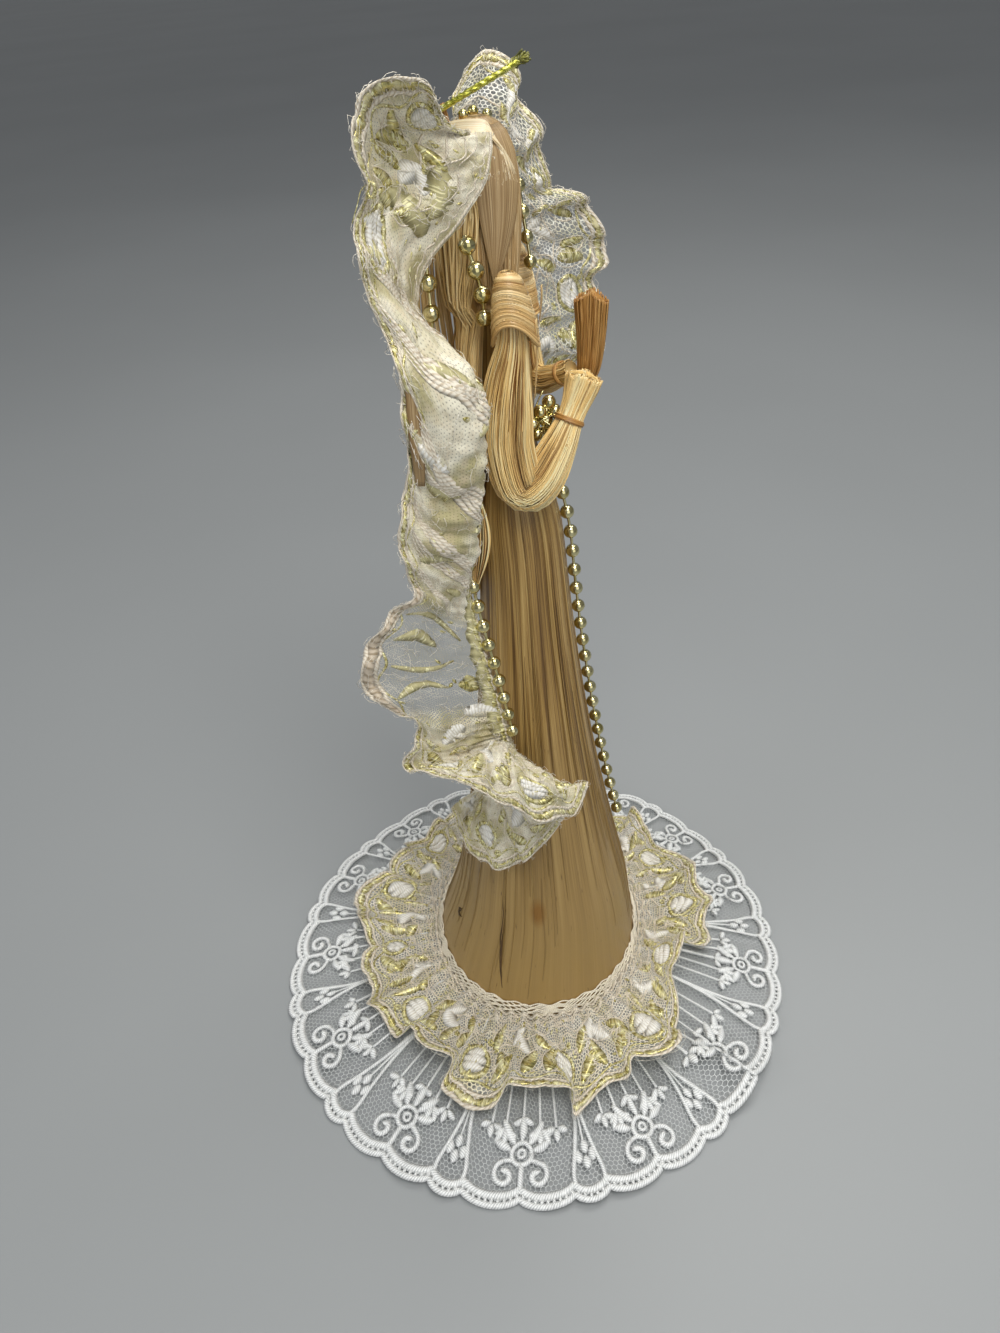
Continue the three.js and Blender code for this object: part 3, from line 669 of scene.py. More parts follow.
gown = {
    "hemRadius": 27.6, "waistRadius": 8, "waistHeight": 146, "flare": 1.85,
    "stretch": 0.13, "stretchAngle": 198, "lean": -2.5, "chestLean": -1.4,
    "chestRadius": 5.1, "chestStart": 130, "chestEnd": 148,
    "neckRadius": 3.9, "shoulderHeight": 157, "neckHeight": 171, "wall": 2.2, "cavityHeight": 92,
    "columns": 540, "ridge": 0.075, "ridges": 270, "liningRidges": 90, "groove": 0.6,
    "fray": 0.12, "frayRidges": 210, "footEnd": 30, "smoothFoot": 0.08, "hemRun": 173,
    # angle, height and half width of the old split
    "crack": [(167, 42, 0.0), (167.5, 34, 0.5), (168.3, 26, 0.75), (171, 18, 0.55), (175, 10, 0.0)],
    "rows": [(0, 30, 12), (33, 150, 29), (154, 171, 6)],  # from one height to another, and how many
    "liningRows": [0, 8, 20, 35, 50, 65, 80],
}
looseFibres = {
    "count": 120, "steps": 15, "startBelow": 60, "rise": (30, 95), "radius": 0.1, "lift": (0.02, 0.12),
}
gownMarks = {
    "splitTop": 36, "splitFoot": 8.5, "splitRadius": 0.4, "steps": 24,
    "knotRadius": 0.26, "gownRadiusThere": 26,
    # angle, height, lean and reach of the knot's strokes
    "knot": [(129, 19.6, 0.5, 1.7), (128, 18.6, -0.7, 1.3), (129.5, 18.4, 1.4, 1.5), (127.5, 19.8, 0.9, 1.0)],
}


def gownRadius(z):
    rise = np.clip(1 - np.asarray(z, float) / gown["waistHeight"], 0, None)
    bell = gown["waistRadius"] + (gown["hemRadius"] - gown["waistRadius"]) * rise ** gown["flare"]
    chest = smoothStep(z, gown["chestStart"], gown["chestEnd"])
    neck = smoothStep(z, gown["shoulderHeight"], gown["neckHeight"])
    return (bell + (gown["chestRadius"] - bell) * chest) * (1 - neck) + gown["neckRadius"] * neck


def gownMiddle(z):
    lean = gown["lean"] * smoothStep(z, 0, gown["footEnd"])
    return lean + (gown["chestLean"] - lean) * smoothStep(z, 120, gown["chestEnd"])


def gownPoint(angle, z, grow=0.0):
    angle, z = np.broadcast_arrays(np.asarray(angle, float), np.asarray(z, float))
    radius = gownRadius(z)
    flare = np.clip((radius - gown["waistRadius"]) / (gown["hemRadius"] - gown["waistRadius"]), 0, None)
    stretch = 1 + gown["stretch"] * flare * np.cos(angle - math.radians(gown["stretchAngle"])) ** 2
    reach = radius * stretch + grow
    return np.stack([reach * np.cos(angle), gownMiddle(z) + reach * np.sin(angle), z], -1)


def combedHeight(angle, height, columns, seed):
    # ridges that run up the bell and slowly change into others: fine, middling and broad ones
    rng = np.random.default_rng(seed)
    total = 0
    for count, amount, keys in ((columns, 1.0, 7), (columns // 5, 0.7, 5), (columns // 14, 0.4, 4)):
        table = rng.normal(0, 1, (count, keys))
        x = (angle / tau % 1) * count
        i, f = np.floor(x).astype(int) % count, (x % 1)[..., None]
        across = table[i] * (1 - f) + table[(i + 1) % count] * f
        k = np.clip(height, 0, 0.9999) * (keys - 1)
        low = k.astype(int)
        g = k - low
        at = np.take_along_axis(across, low[..., None], -1)[..., 0]
        after = np.take_along_axis(across, low[..., None] + 1, -1)[..., 0]
        total = total + amount * (at * (1 - g) + after * g)
    return total / 2


def buildGown():
    body = Shape()
    angles = np.arange(gown["columns"]) / gown["columns"] * tau
    outside = np.concatenate([np.linspace(*rows) for rows in gown["rows"]])
    a, z = np.meshgrid(angles, outside, indexing="ij")
    crest = combedHeight(a, z / gown["neckHeight"], gown["ridges"], 3)
    thin = np.clip(gownRadius(z) / 16, 0.35, 1)
    crack = np.array(gown["crack"], float)[::-1]
    crackAngle = np.radians(np.interp(z, crack[:, 1], crack[:, 0]))
    crackWidth = np.interp(z, crack[:, 1], crack[:, 2], left=0, right=0)
    apart = np.abs(a - crackAngle) * gownRadius(z)
    groove = gown["groove"] * np.clip(1 - apart / np.maximum(crackWidth, 0.01), 0, 1) * (crackWidth > 0.02)
    smooth = gown["smoothFoot"] + (1 - gown["smoothFoot"]) * smoothStep(z, 20, 95)
    skin = gownPoint(a, z, gown["ridge"] * crest * thin * smooth - 0.1 - groove)
    inner = np.array([*gown["liningRows"], gown["cavityHeight"]])
    ai, zi = np.meshgrid(angles, inner, indexing="ij")
    uneven = 0.1 * combedHeight(ai, zi / gown["neckHeight"], gown["liningRidges"], 5)
    lining = gownPoint(ai, zi, -gown["wall"] + uneven)
    for side, turns, heights in ((skin, a, z), (lining, ai, zi)):
        fray = np.abs(combedHeight(turns, heights, gown["frayRidges"], 9)) * gown["fray"]
        side[..., 2] += np.where(heights == 0, fray, 0)
    points = np.concatenate([lining[:, ::-1], skin], axis=1)
    run = np.concatenate([inner[::-1] + 300, outside])
    us = np.arange(gown["columns"] + 1) / gown["columns"] * gown["hemRun"]
    body.closeEnds(body.grid(points, us, run, wrapU=True), gown["columns"], points.shape[1])
    body.make("gown", paints["gown"], "straw", ["straw_gown"])

    # strands that have lifted from the comb
    rng = np.random.default_rng(21)
    loose = Shape()
    count, steps = looseFibres["count"], looseFibres["steps"]
    k = shares(steps)
    start = rng.uniform(0, looseFibres["startBelow"], count)
    to = np.minimum(start + rng.uniform(*looseFibres["rise"], count), 150)
    height = start[:, None] + (to - start)[:, None] * k
    angle = rng.uniform(0, tau, count)[:, None] + 0.012 * wander(count, 4, 22)(k)
    least, most = looseFibres["lift"]
    lift = least + most * np.sin(np.linspace(0, math.pi, steps)) * rng.uniform(0.2, 1, count)[:, None]
    lines = gownPoint(angle, height, lift)
    outward = unit(lines * (1, 1, 0) - np.stack([0 * height, gownMiddle(height), 0 * height], -1))
    radius = looseFibres["radius"] * taper(0.12, 0.12, steps) ** 0.5
    loose.strands(lines, np.broadcast_to(radius, (count, steps)), outward)
    loose.make("gown_loose_fibres", paints["gown"], "straw")

    # an old split, and the small dark knot beside it
    marks = Shape()
    height = np.linspace(gownMarks["splitTop"], gownMarks["splitFoot"], gownMarks["steps"])
    angle = np.radians(np.interp(height + 3, crack[:, 1], crack[:, 0]))
    split = gownPoint(angle, height, -0.1)
    radius = gownMarks["splitRadius"] * taper(0.2, 0.2, gownMarks["steps"])
    marks.strands(split[None], radius[None], nearSide, sides=5, flat=0.6)
    for turn, rise, swing, reach in gownMarks["knot"]:
        k = np.linspace(-1, 1, 7)
        aside = math.radians(turn) + k * reach * math.sin(swing) / gownMarks["gownRadiusThere"]
        stroke = gownPoint(aside, rise + k * reach * math.cos(swing), 0.05)
        radius = gownMarks["knotRadius"] * taper(0.3, 0.3, 7)
        marks.strands(stroke[None], radius[None], np.array([-1.0, 0.5, 0.2]), sides=5, flat=0.5)
    marks.make("gown_marks", paints["mark"], "straw")


buildGown()


# Head, with a smooth lock over the side of the face and a folded band on the crown

head = {
    # height and radius
    "profile": [(171.0, 3.7), (175, 4.5), (180, 5.2), (186, 5.7), (191, 5.6), (195.5, 5.0), (198.6, 3.6),
                (200, 1.2)],
    "middle": 0.3, "width": 0.97, "depth": 1.03, "columns": 96, "rows": 34, "front": math.radians(270),
    "strands": 150, "steps": 20, "spread": 1.9, "strandTop": 199.2, "strandFoot": 172.5, "strandRadius": 0.16,
}
lock = {
    "tip": (-5.7, -2.2, 175.8), "strands": 90, "steps": 23, "radius": 0.17, "top": 199, "foot": 176.2,
    "start": (0.15, 1.35), "endAngle": math.radians(205), "off": (0.62, 0.25),
}
crownBand = {
    "strands": 46, "steps": 28, "radius": 0.16, "swing": (-1.25, 1.15), "width": 2.0, "height": 198.2,
}


def headRadius(z):
    rows = np.array(head["profile"])
    return np.interp(z, rows[:, 0], rows[:, 1])


def headPoint(angle, z, grow=0.0):
    reach = headRadius(z) + grow
    across = head["width"] * reach * np.cos(angle)
    return np.stack([across, head["middle"] + head["depth"] * reach * np.sin(angle), z + 0 * reach], -1)


def buildHead():
    body = Shape()
    columns, rowCount = head["columns"], head["rows"]
    angles = np.arange(columns) / columns * tau
    t = shares(rowCount)
    rows = curveAt(head["profile"], t)
    a = angles[:, None] + 0 * t
    z, r = rows[:, 0] + 0 * a, rows[:, 1] + 0.05 * combedHeight(a, t + 0 * a, columns, 31)
    points = np.stack([head["width"] * r * np.cos(a), head["middle"] + head["depth"] * r * np.sin(a), z], -1)
    start = body.grid(points, np.arange(columns + 1) / columns * 34, rows[:, 0], wrapU=True)
    body.closeEnds(start, columns, rowCount)

    # fibre drawn down from the crown over the face
    rng = np.random.default_rng(32)
    count, steps = head["strands"], head["steps"]
    k = shares(steps)
    spread = head["front"] + np.linspace(-head["spread"], head["spread"], count)
    angle = spread[:, None] + 0.05 * wander(count, 4, 33)(k)
    height = head["strandTop"] - (head["strandTop"] - head["strandFoot"]) * k + 0 * angle
    lines = headPoint(angle, height, 0.12 + 0.12 * rng.uniform(0, 1, count)[:, None] + 0 * k)
    outward = unit(lines - np.array([0, head["middle"], 186]))
    radius = head["strandRadius"] * taper(0.5, 0.5, steps)
    body.strands(lines, radius, outward, flat=0.7)
    body.make("head_fibre", paints["face"], "straw", ["head"])

    # the smooth lock: a leaf of fibre whose point hangs behind the cheek
    smoothLock = Shape()
    count, steps = lock["strands"], lock["steps"]
    k = shares(steps)
    f = shares(count)
    first, fan = lock["start"]
    startAngle = head["front"] - first - fan * f
    angle = startAngle[:, None] + (lock["endAngle"] - startAngle[:, None]) * (k**2.2)
    height = lock["top"] - (lock["top"] - lock["foot"]) * k
    least, more = lock["off"]
    lines = headPoint(angle, height + 0 * angle, least + more * np.sin(k * math.pi) + 0 * angle)
    lines = lines + (np.array(lock["tip"]) - lines) * (k**5)[:, None]
    outward = unit(lines - np.array([0, head["middle"], 186]))
    radius = lock["radius"] * taper(0.4, 0.25, steps)
    smoothLock.strands(lines, radius, outward, flat=0.7)
    smoothLock.make("head_lock", paints["lock"], "straw")

    # the folded band over the crown
    count, steps = crownBand["strands"], crownBand["steps"]
    f = shares(count)
    swing = np.linspace(*crownBand["swing"], steps)
    across = (f - 0.5) * crownBand["width"]
    rise = crownBand["height"] + 1.5 * np.cos(swing)[None]
    lines = np.stack([
        -3.4 * np.cos(swing)[None] * 0.9 - 0.6 + across[:, None] * 1.5 - 1.2 * f[:, None],
        head["middle"] + 5.1 * np.sin(swing)[None] + 0.15 * across[:, None],
        rise - 1.6 * (1 - f[:, None]) + 0.5 * np.cos(across)[:, None],
    ], -1)
    down = headPoint(head["front"] - 0.3 - 0.9 * f, 193 - 3 * rng.uniform(0, 1, count), 0.9)
    blend = (1 - smoothStep(swing, crownBand["swing"][0], -0.35)) ** 1.5
    lines = lines + (down[:, None] - lines) * blend[:, None]
    outward = unit(lines - np.array([0, head["middle"], 190]))
    radius = crownBand["radius"] * taper(0.3, 0.5, steps)
    crown = Shape()
    crown.strands(lines, radius, outward, flat=0.7)
    crown.make("head_crown_band", paints["crown"], "straw")


buildHead()


# Hair: wavy darker strands from the crown over the back

hair = {
    # height, half spread round the head in degrees, and thickness
    "rows": [(198.8, 60, 1.2), (195, 88, 1.9), (188, 100, 2.3), (180, 90, 2.5), (173, 72, 2.8),
             (166, 64, 3.0), (158, 62, 3.0), (148, 62, 2.6), (138, 44, 2.2), (128, 34, 1.8), (118, 26, 1.4),
             (110, 16, 1.0)],
    "strands": 280, "radius": 0.24, "gap": 0.35, "steps": 28, "top": 198.6, "headFrom": 171.4,
    "underFoot": 112, "underColumns": 24, "wispStrands": 11, "wispSteps": 26, "wispRadius": 0.16,
    # a pixel of the photo and the place to the left
    "wisp": {"top": (478, 484, -13.5), "belly": (488, 545, -14.5), "tip": (475, 598, -15.5)},
}


def hairPoint(share, z, depth):
    rows = np.array(hair["rows"])[::-1]
    spread = np.radians(np.interp(z, rows[:, 0], rows[:, 1]))
    thick = np.interp(z, rows[:, 0], rows[:, 2])
    onHead = z > hair["headFrom"]
    radius = np.where(onHead, headRadius(z) * head["depth"], gownRadius(z))
    middle = np.where(onHead, head["middle"], gownMiddle(z))
    reach = radius + hair["gap"] + 0.25 + thick * depth
    turn = spread * share
    return np.stack([reach * np.sin(turn), middle + reach * np.cos(turn), z], -1)


def buildHair():
    body = Shape()
    steps, columns = hair["steps"], hair["underColumns"]
    k = shares(steps)
    # a thin under layer, so that the gown doesn't show between the strands
    down = np.linspace(hair["top"], hair["underFoot"], steps)
    share, z = np.meshgrid(np.linspace(-1, 1, columns), down, indexing="ij")
    for depth, flip in ((0.08, False), (0.3, True)):
        sheet = hairPoint(share, z, depth + 0.1 * combedHeight(share + 4, z / 220, 80, 41))
        body.grid(sheet[::-1] if flip else sheet, np.linspace(0, 20, columns), z[0])
    rng = np.random.default_rng(42)
    count = hair["strands"]
    share = np.sort(rng.uniform(-1, 1, count))
    long = 0.45 + 0.55 * rng.uniform(0, 1, count) ** 0.6 * (1 - 0.35 * np.abs(share))
    reachDown = 199 - (199 - 108) * long
    height = hair["top"] + (reachDown[:, None] - hair["top"]) * k
    sway = 0.10 * wander(count, 9, 43)(k) * k
    depth = rng.uniform(0.35, 1.0, count)[:, None] + 0.12 * wander(count, 7, 44)(k)
    lines = hairPoint(np.clip(share[:, None] + sway, -1.04, 1.04), height, depth)
    outward = unit(lines * (1, 1, 0) + 1e-6)
    radius = hair["radius"] * (0.55 + 0.45 * taper(0.4, 0.2, steps))
    body.strands(lines, radius * rng.uniform(0.7, 1.15, count)[:, None], outward, flat=0.8)
    body.make("hair_strands", paints["hair"], "hair_straw", ["hair"])

    # a wisp that has come loose at the side
    wisp, count, steps = Shape(), hair["wispStrands"], hair["wispSteps"]
    k = shares(steps)
    top, belly, tip = (fromPhoto(*hair["wisp"][n]) for n in ("top", "belly", "tip"))
    bow = np.linspace(-0.55, 1.25, count)[:, None, None] * np.sin(k * math.pi)[:, None] ** 1.4
    straight = top + (tip - top) * k[:, None]
    lines = straight[None] + bow * (belly - straight[steps // 2]) + 0.15 * rng.normal(0, 1, (count, 1, 3))
    radius = hair["wispRadius"] * taper(0.5, 0.3, steps)
    wisp.strands(lines, radius, nearSide, sides=5)
    wisp.make("hair_wisp", paints["pale"], "hair_straw")


buildHair()


# Arms and hands: bundles of fibre on a middle line of point, half depth and half width

bundles = {
    "columns": 48, "core": 0.88, "fillSteps": 8,
    "right_arm": {
        "strands": 210, "radius": 0.135, "twist": 0.9, "seed": 51, "clumps": 10, "clump": 0.15, "wedge": 0.03,
        "rows": [
            (-8.5, -5.5, 173.4, 1.8, 1.5), (-8.6, -5.6, 168, 2.6, 2.2), (-9, -4.6, 162, 3.7, 2.7),
            (-9.3, -4, 156, 4.4, 2.9), (-9.4, -3.9, 149.4, 4.5, 2.9), (-9.4, -5.9, 141.6, 4.5, 2.8),
            (-8.4, -9.4, 143.4, 4, 2.7), (-6.3, -12.1, 148.2, 3.2, 2.4), (-3.9, -13.9, 152.6, 2.3, 2),
            (-2.9, -14.7, 155, 2.4, 1.8), (-2.3, -15.8, 158.4, 3.0, 1.5), (-2.1, -16.5, 161.0, 3.3, 1.2),
        ],
    },
    "left_arm": {
        "strands": 130, "radius": 0.135, "twist": 0.6, "seed": 55, "clumps": 8, "clump": 0.14,
        "rows": [
            (7.9, -2.9, 173.4, 1.8, 1.5), (8, -3.1, 168, 2.6, 2.2), (8.7, -2.6, 163.4, 3.1, 2.6),
            (9.1, -2.8, 158.6, 3.2, 2.6), (8.8, -4.2, 155.2, 2.9, 2.4), (7.5, -6.8, 155.2, 2.7, 2.2),
            (5.7, -9.3, 156.6, 2.3, 2.1), (4.2, -11.2, 157.8, 1.9, 1.8), (3.5, -12.2, 158.4, 1.9, 1.7),
            (2.9, -13.1, 159, 2.1, 1.4),
        ],
    },
    "praying_hands": {
        "strands": 62, "radius": 0.2, "twist": 0.0, "seed": 61, "clumps": 9, "clump": 0.12, "wedge": 0.17,
        "steps": 24,
        "rows": [
            (1.5, -15.8, 158.2, 1.7, 1.3), (1.4, -16.5, 161, 2.2, 1.5), (1.2, -16.9, 166, 2.6, 1.7),
            (1.1, -17, 171, 3, 1.8), (1.1, -17.1, 173.9, 3.1, 1.7),
        ],
    },
}


def bundleFrames(rows, t):
    rows = np.array(rows)
    middle = curveAt(rows[:, :3], t)
    size = curveAt(rows[:, 3:], t)
    after, before = (curveAt(rows[:, :3], np.clip(t + step, 0, 1)) for step in (0.004, -0.004))
    tangent = unit(after - before)
    across = unit(np.array([1.0, 0, 0]) - tangent * tangent[..., :1])
    deep = np.cross(tangent, across)
    return middle, across * size[..., 1:2], deep * size[..., :1]


def bundlePoint(rows, t, turn, grow):
    middle, across, deep = bundleFrames(rows, t)
    return middle + grow[..., None] * (across * np.cos(turn)[..., None] + deep * np.sin(turn)[..., None])


def clumpHeight(turn, along, count, seed):
    # rounded clumps side by side, some higher than others, with a groove between each two
    rng = np.random.default_rng(seed)
    high, lean = rng.uniform(0.35, 1, count), rng.normal(0, 0.12, count)
    x = (turn / tau % 1) * count
    x = x + 0.3 * np.sin(x * tau / count * 2 + seed) + 0.25 * np.sin(along * 5 + x)
    i = np.floor(x).astype(int) % count
    f = np.clip(x % 1 + lean[i] * np.sin(x % 1 * math.pi), 0, 1)
    return (1 - np.abs(2 * f - 1) ** 3) * high[i]


def addBundle(body, plan):
    rows, count, steps = plan["rows"], plan["strands"], plan.get("steps", 48)
    k = shares(steps)
    columns = bundles["columns"]
    a, t = np.meshgrid(np.arange(columns) / columns * tau, k, indexing="ij")
    cut = plan.get("wedge", 0)
    inside = t * (1 - cut * np.abs(np.sin(a)) ** 0.9 - 0.3 * cut)
    skin = bundlePoint(rows, inside, a, bundles["core"] + 0.02 * np.sin(a * 3))
    body.closeEnds(body.grid(skin, np.arange(columns + 1) / columns * 20, k * 60, wrapU=True), columns, steps)
    rng = np.random.default_rng(plan["seed"])
    turn = (np.arange(count) + rng.uniform(-0.5, 0.5, count)) / count * tau
    turn = turn[:, None] + plan["twist"] * k + 0.05 * wander(count, 5, plan["seed"] + 1)(k)
    place = k * np.ones((count, 1))
    if cut:
        place = place * (1 - cut * np.abs(np.sin(turn[:, -1:])) ** 0.9 - rng.uniform(0, 0.03, count)[:, None])
    grow = 0.9 + plan["clump"] * clumpHeight(turn - plan["twist"] * k, k, plan["clumps"], plan["seed"] + 2)
    grow = grow + 0.015 * rng.normal(0, 1, count)[:, None]
    lines = bundlePoint(rows, place, turn, grow)
    outward = unit(lines - bundleFrames(rows, place)[0])
    thick = plan["radius"] * rng.uniform(0.6, 1.5, count)[:, None] * taper(0.6, 0.6, steps) ** 0.3
    shift = np.arange(count) / count * 24 + rng.normal(0, 0.5, count)
    body.strands(lines, thick, outward, flat=0.6, shift=shift)
    if cut:
        # further strands fill the cut end
        grow = grow * np.sqrt(rng.uniform(0, 0.9, count))[:, None]
        end = slice(-bundles["fillSteps"], None)
        fill = bundlePoint(rows, place[:, end], turn[:, end], grow[:, end])
        body.strands(fill, thick[:, end], outward[:, end], flat=0.6, shift=shift)


def buildArms():
    for name in ("right_arm", "left_arm"):
        body = Shape()
        addBundle(body, bundles[name])
        body.make(name + "_fibre", paints["pale"], "pale_straw", [name])
    hands = Shape()
    addBundle(hands, bundles["praying_hands"])
    hands.make("praying_hands_fibre", paints["dark"], "dark_straw", ["praying_hands"])


ties = {
    "turns": 4, "steps": 26, "spread": 0.02, "radius": 0.2,
    "right_wrist_tie": ("right_arm", 8 / 11), "left_wrist_tie": ("left_arm", 7 / 9),  # how far along its arm
}


def buildTies():
    for name in ("right_wrist_tie", "left_wrist_tie"):
        arm, place = ties[name]
        rows = bundles[arm]["rows"]
        body = Shape()
        k = shares(ties["turns"] * ties["steps"])
        t = place + (k - 0.5) * ties["spread"]
        winding = bundlePoint(rows, t, k * ties["turns"] * tau, 1.1 + 0.05 * np.sin(k * 19))
        outward = unit(winding - bundleFrames(rows, t)[0])
        body.strands(winding[None], ties["radius"], outward[None], sides=6)
        body.make(name + "_winding", paints["dark"], "dark_straw", [name])


buildArms()
buildTies()


# Sleeve caps: fibre wound round the shoulder, its lower edge arched over the arm

caps = {
    "right_sleeve_cap": {"place": (-8.6, -5.1), "side": -1, "size": 1.0, "end": 13.5},
    "left_sleeve_cap": {"place": (8.3, -1.9), "side": 1, "size": 0.8, "end": 7},
    # height, half depth, half width and how far forward
    "rows": [(167.4, 4.2, 3.7, 0.6), (171, 4.0, 3.6, 0.5), (175, 3.3, 3.1, 0.3), (178, 2.3, 2.2, 0.1),
             (179.4, 0.9, 0.9, 0)],
    "arch": 4.6, "turns": 84, "radius": 0.14, "columns": 48, "outerRows": 20, "innerRows": 17,
    "lip": [(0.12, 0.0, 0.3), (-0.25, 0.012, 0.26), (0.1, 0.05, 0.2)],
}


def capPoint(cap, turn, share, grow):
    rows = curveAt(caps["rows"], share)
    x, y = cap["place"]
    overArm = np.clip(np.cos(turn - 0.12) * cap["side"], 0, 1)
    z = rows[..., 0] + caps["arch"] * (1 - share) ** 1.2 * overArm**1.6
    size = cap["size"]
    back = 1 - 0.2 * np.clip(np.sin(turn), 0, 1)
    across, deep = rows[..., 2] * size + grow, (rows[..., 1] * size + grow) * back
    return np.stack([x + across * np.cos(turn), y - rows[..., 3] + deep * np.sin(turn), z], -1)


def buildCaps():
    for name in ("right_sleeve_cap", "left_sleeve_cap"):
        cap = caps[name]
        body = Shape()
        columns, inner = caps["columns"], caps["innerRows"]
        a, s = np.meshgrid(np.arange(columns) / columns * tau, shares(caps["outerRows"]), indexing="ij")
        outside = capPoint(cap, a, s, -0.15)
        inside = capPoint(cap, a[:, :inner], s[:, :inner], -0.75)
        points = np.concatenate([inside[:, ::-1], outside], axis=1)
        rowCount = points.shape[1]
        us, vs = np.arange(columns + 1) / columns * 22, np.linspace(0, 24, rowCount)
        body.closeEnds(body.grid(points, us, vs, wrapU=True), columns, rowCount)
        count, steps = caps["turns"], 36
        share = np.linspace(0, 0.95, count)
        turn = np.linspace(0, tau * 1.02, steps)[None] + 0.3 * np.arange(count)[:, None]
        slant = 0.006 * np.sin(turn + 0.6) + 0.0025 * wander(count, 6, 71)(shares(steps))
        rng = np.random.default_rng(72)
        lift = 0.06 + 0.05 * rng.uniform(-1, 1, count)[:, None] + 0.08 * np.sin(share * 23)[:, None] ** 4
        lines = capPoint(cap, turn, np.clip(share[:, None] + slant, 0, 1), lift)
        outward = unit(lines - np.array([cap["place"][0], cap["place"][1], 172]))
        thick = caps["radius"] * rng.uniform(0.7, 1.4, count)[:, None] * taper(0.7, 0.7, steps)
        body.strands(lines, thick, outward, flat=0.7, shift=share * 14 + rng.normal(0, 0.3, count))
        # the rolled lip
        turn = np.linspace(0, tau, 60)
        for grow, share, thick in caps["lip"]:
            lip = capPoint(cap, turn, share + 0 * turn, grow)
            body.strands(lip[None], thick, unit(lip - np.array([*cap["place"], 172]))[None], sides=6)
        # the end of the winding hangs down in front of the arm
        count, steps = 7, 18
        k = shares(steps)
        f = np.linspace(-0.5, 0.5, count)[:, None]
        x, y = cap["place"]
        aside = x + 0.5 * cap["side"] + 1.1 * f + 0.4 * k
        ahead = y - 4.75 + 0.9 * k**2 + 0.1 * f * k
        lines = np.stack([aside, ahead, 172 - cap["end"] * k + 0 * f], -1)
        body.strands(lines, 0.15 * taper(0.5, 0.4, steps), np.array([0, -1.0, 0]), flat=0.6)
        body.make(name + "_winding", paints["cap"], "pale_straw", [name])


buildCaps()
print("the fibre pieces are built")


# Bead garlands: fused beads on a thread, along the part's own routes

beads = {
    "radius": 1.45, "pitch": 4.65, "neckPitch": 4.0, "thread": 0.3, "sides": 14, "rings": 11,
    "leftNeckRadius": 1.15, "tangleRadius": 1.3, "crownRadius": 0.85, "tangleLoops": 12,
    "drape": [(154, 258), (150, 274), (145, 286), (138, 294), (126, 298), (112, 298), (98, 298), (82, 298),
              (66, 299), (52, 297), (39, 296)],  # height and angle on the gown
    # a pixel of the photo and how far to the left
    "tangle": [(533, 424, -5.0), (540, 412, -4.2), (549, 402, -3.0), (555, 411, -2.2), (546, 420, -3.6),
               (537, 434, -4.6), (551, 428, -2.8)],
    "crown": [(463, 115, 1.4), (473, 111, 2.3), (487, 114, 3.4)],
    # the part's own routes
    "right_neck_bead_garland": [
        (-9.8, 1.2, 186.9), (-9.8, 0.3, 182.5), (-9.5, -0.8, 178.4), (-8.8, -1.1, 174), (-7.8, -0.5, 168.6),
    ],
    "left_neck_bead_garland": [
        (6.0, -3.8, 191.5), (5.8, -4.4, 187.4), (5.6, -4.9, 183.4), (5.3, -5.5, 179.3), (5.1, -5.9, 174.2),
    ],
}

wings = {
    "right": {
        "root": [
            (-5.5, 8.9, 194), (-8.5, 8.2, 188), (-11, 7.2, 181.5), (-12, 6.7, 174), (-12.4, 6.6, 166),
            (-13, 5.7, 155), (-14.6, 4.8, 143), (-15.2, 4.2, 130), (-15.4, 2.6, 117), (-15.2, 0.4, 103),
            (-14.9, -1.3, 91), (-14.7, -2.3, 83), (-14.7, -2.8, 80.5), (-14.6, -3.3, 79),
        ],
        "edge": [
            (-13, -6.8, 199.4), (-20, 4.4, 207.4), (-26, 8.8, 205.6), (-33, 9, 192), (-38, 4.6, 179),
            (-37.4, 2.6, 162), (-35, 5, 148), (-33, 9.6, 134), (-31, 20.6, 114), (-30, 18, 93), (-28, 14, 70),
            (-26, 4.5, 52.5), (-25, -9.5, 61), (-23, -20.2, 81),
        ],
        "side": -1,
    },
}
wings["left"] = {
    "root": [(-x, y - 0.6, z) for x, y, z in wings["right"]["root"]],
    "edge": [
        (12, -5, 201.5), (16, -0.4, 205.8), (22, -0.6, 202.6), (30, -3.2, 189), (36, -12, 173), (35, -9, 158),
        (35, 1, 145), (33, 7, 131), (30, 14, 113), (29, 14, 92), (27, 9, 70), (25, 2, 55),
        (24, -5, 61), (22.5, -8.5, 76),
    ],
    "side": 1,
}


def addGarland(body, route, pitch, radius):
    fine = curveAt(route, shares(600))
    run = runAlong(fine)
    thread = beads["thread"]
    count = int((run[-1] - 2 * radius) / pitch) + 1
    first = (run[-1] - (count - 1) * pitch) / 2
    lift = np.arcsin(thread / radius)
    arc = np.linspace(math.pi - lift, lift, beads["rings"])
    ring = np.concatenate([[-radius * 1.06], radius * np.cos(arc), [radius * 1.06]])
    size = np.concatenate([[thread], radius * np.sin(arc), [thread]])
    at = (first + np.arange(count)[:, None] * pitch + ring[None]).ravel()
    line = np.stack([np.interp(at, run, fine[:, k]) for k in range(3)], 1)
    outward = np.array([0.3, -1.0, 0.1])
    body.strands(line[None], np.tile(size, count)[None], outward, sides=beads["sides"])


def addBead(body, place, lean, radius):
    arc = np.linspace(math.pi - 0.08, 0.08, beads["rings"])
    line = np.array(place) + radius * np.cos(arc)[:, None] * unit(np.array(lean, float))
    body.strands(line[None], (radius * np.sin(arc))[None], np.array([0.3, 0.2, 1.0]), sides=beads["sides"])


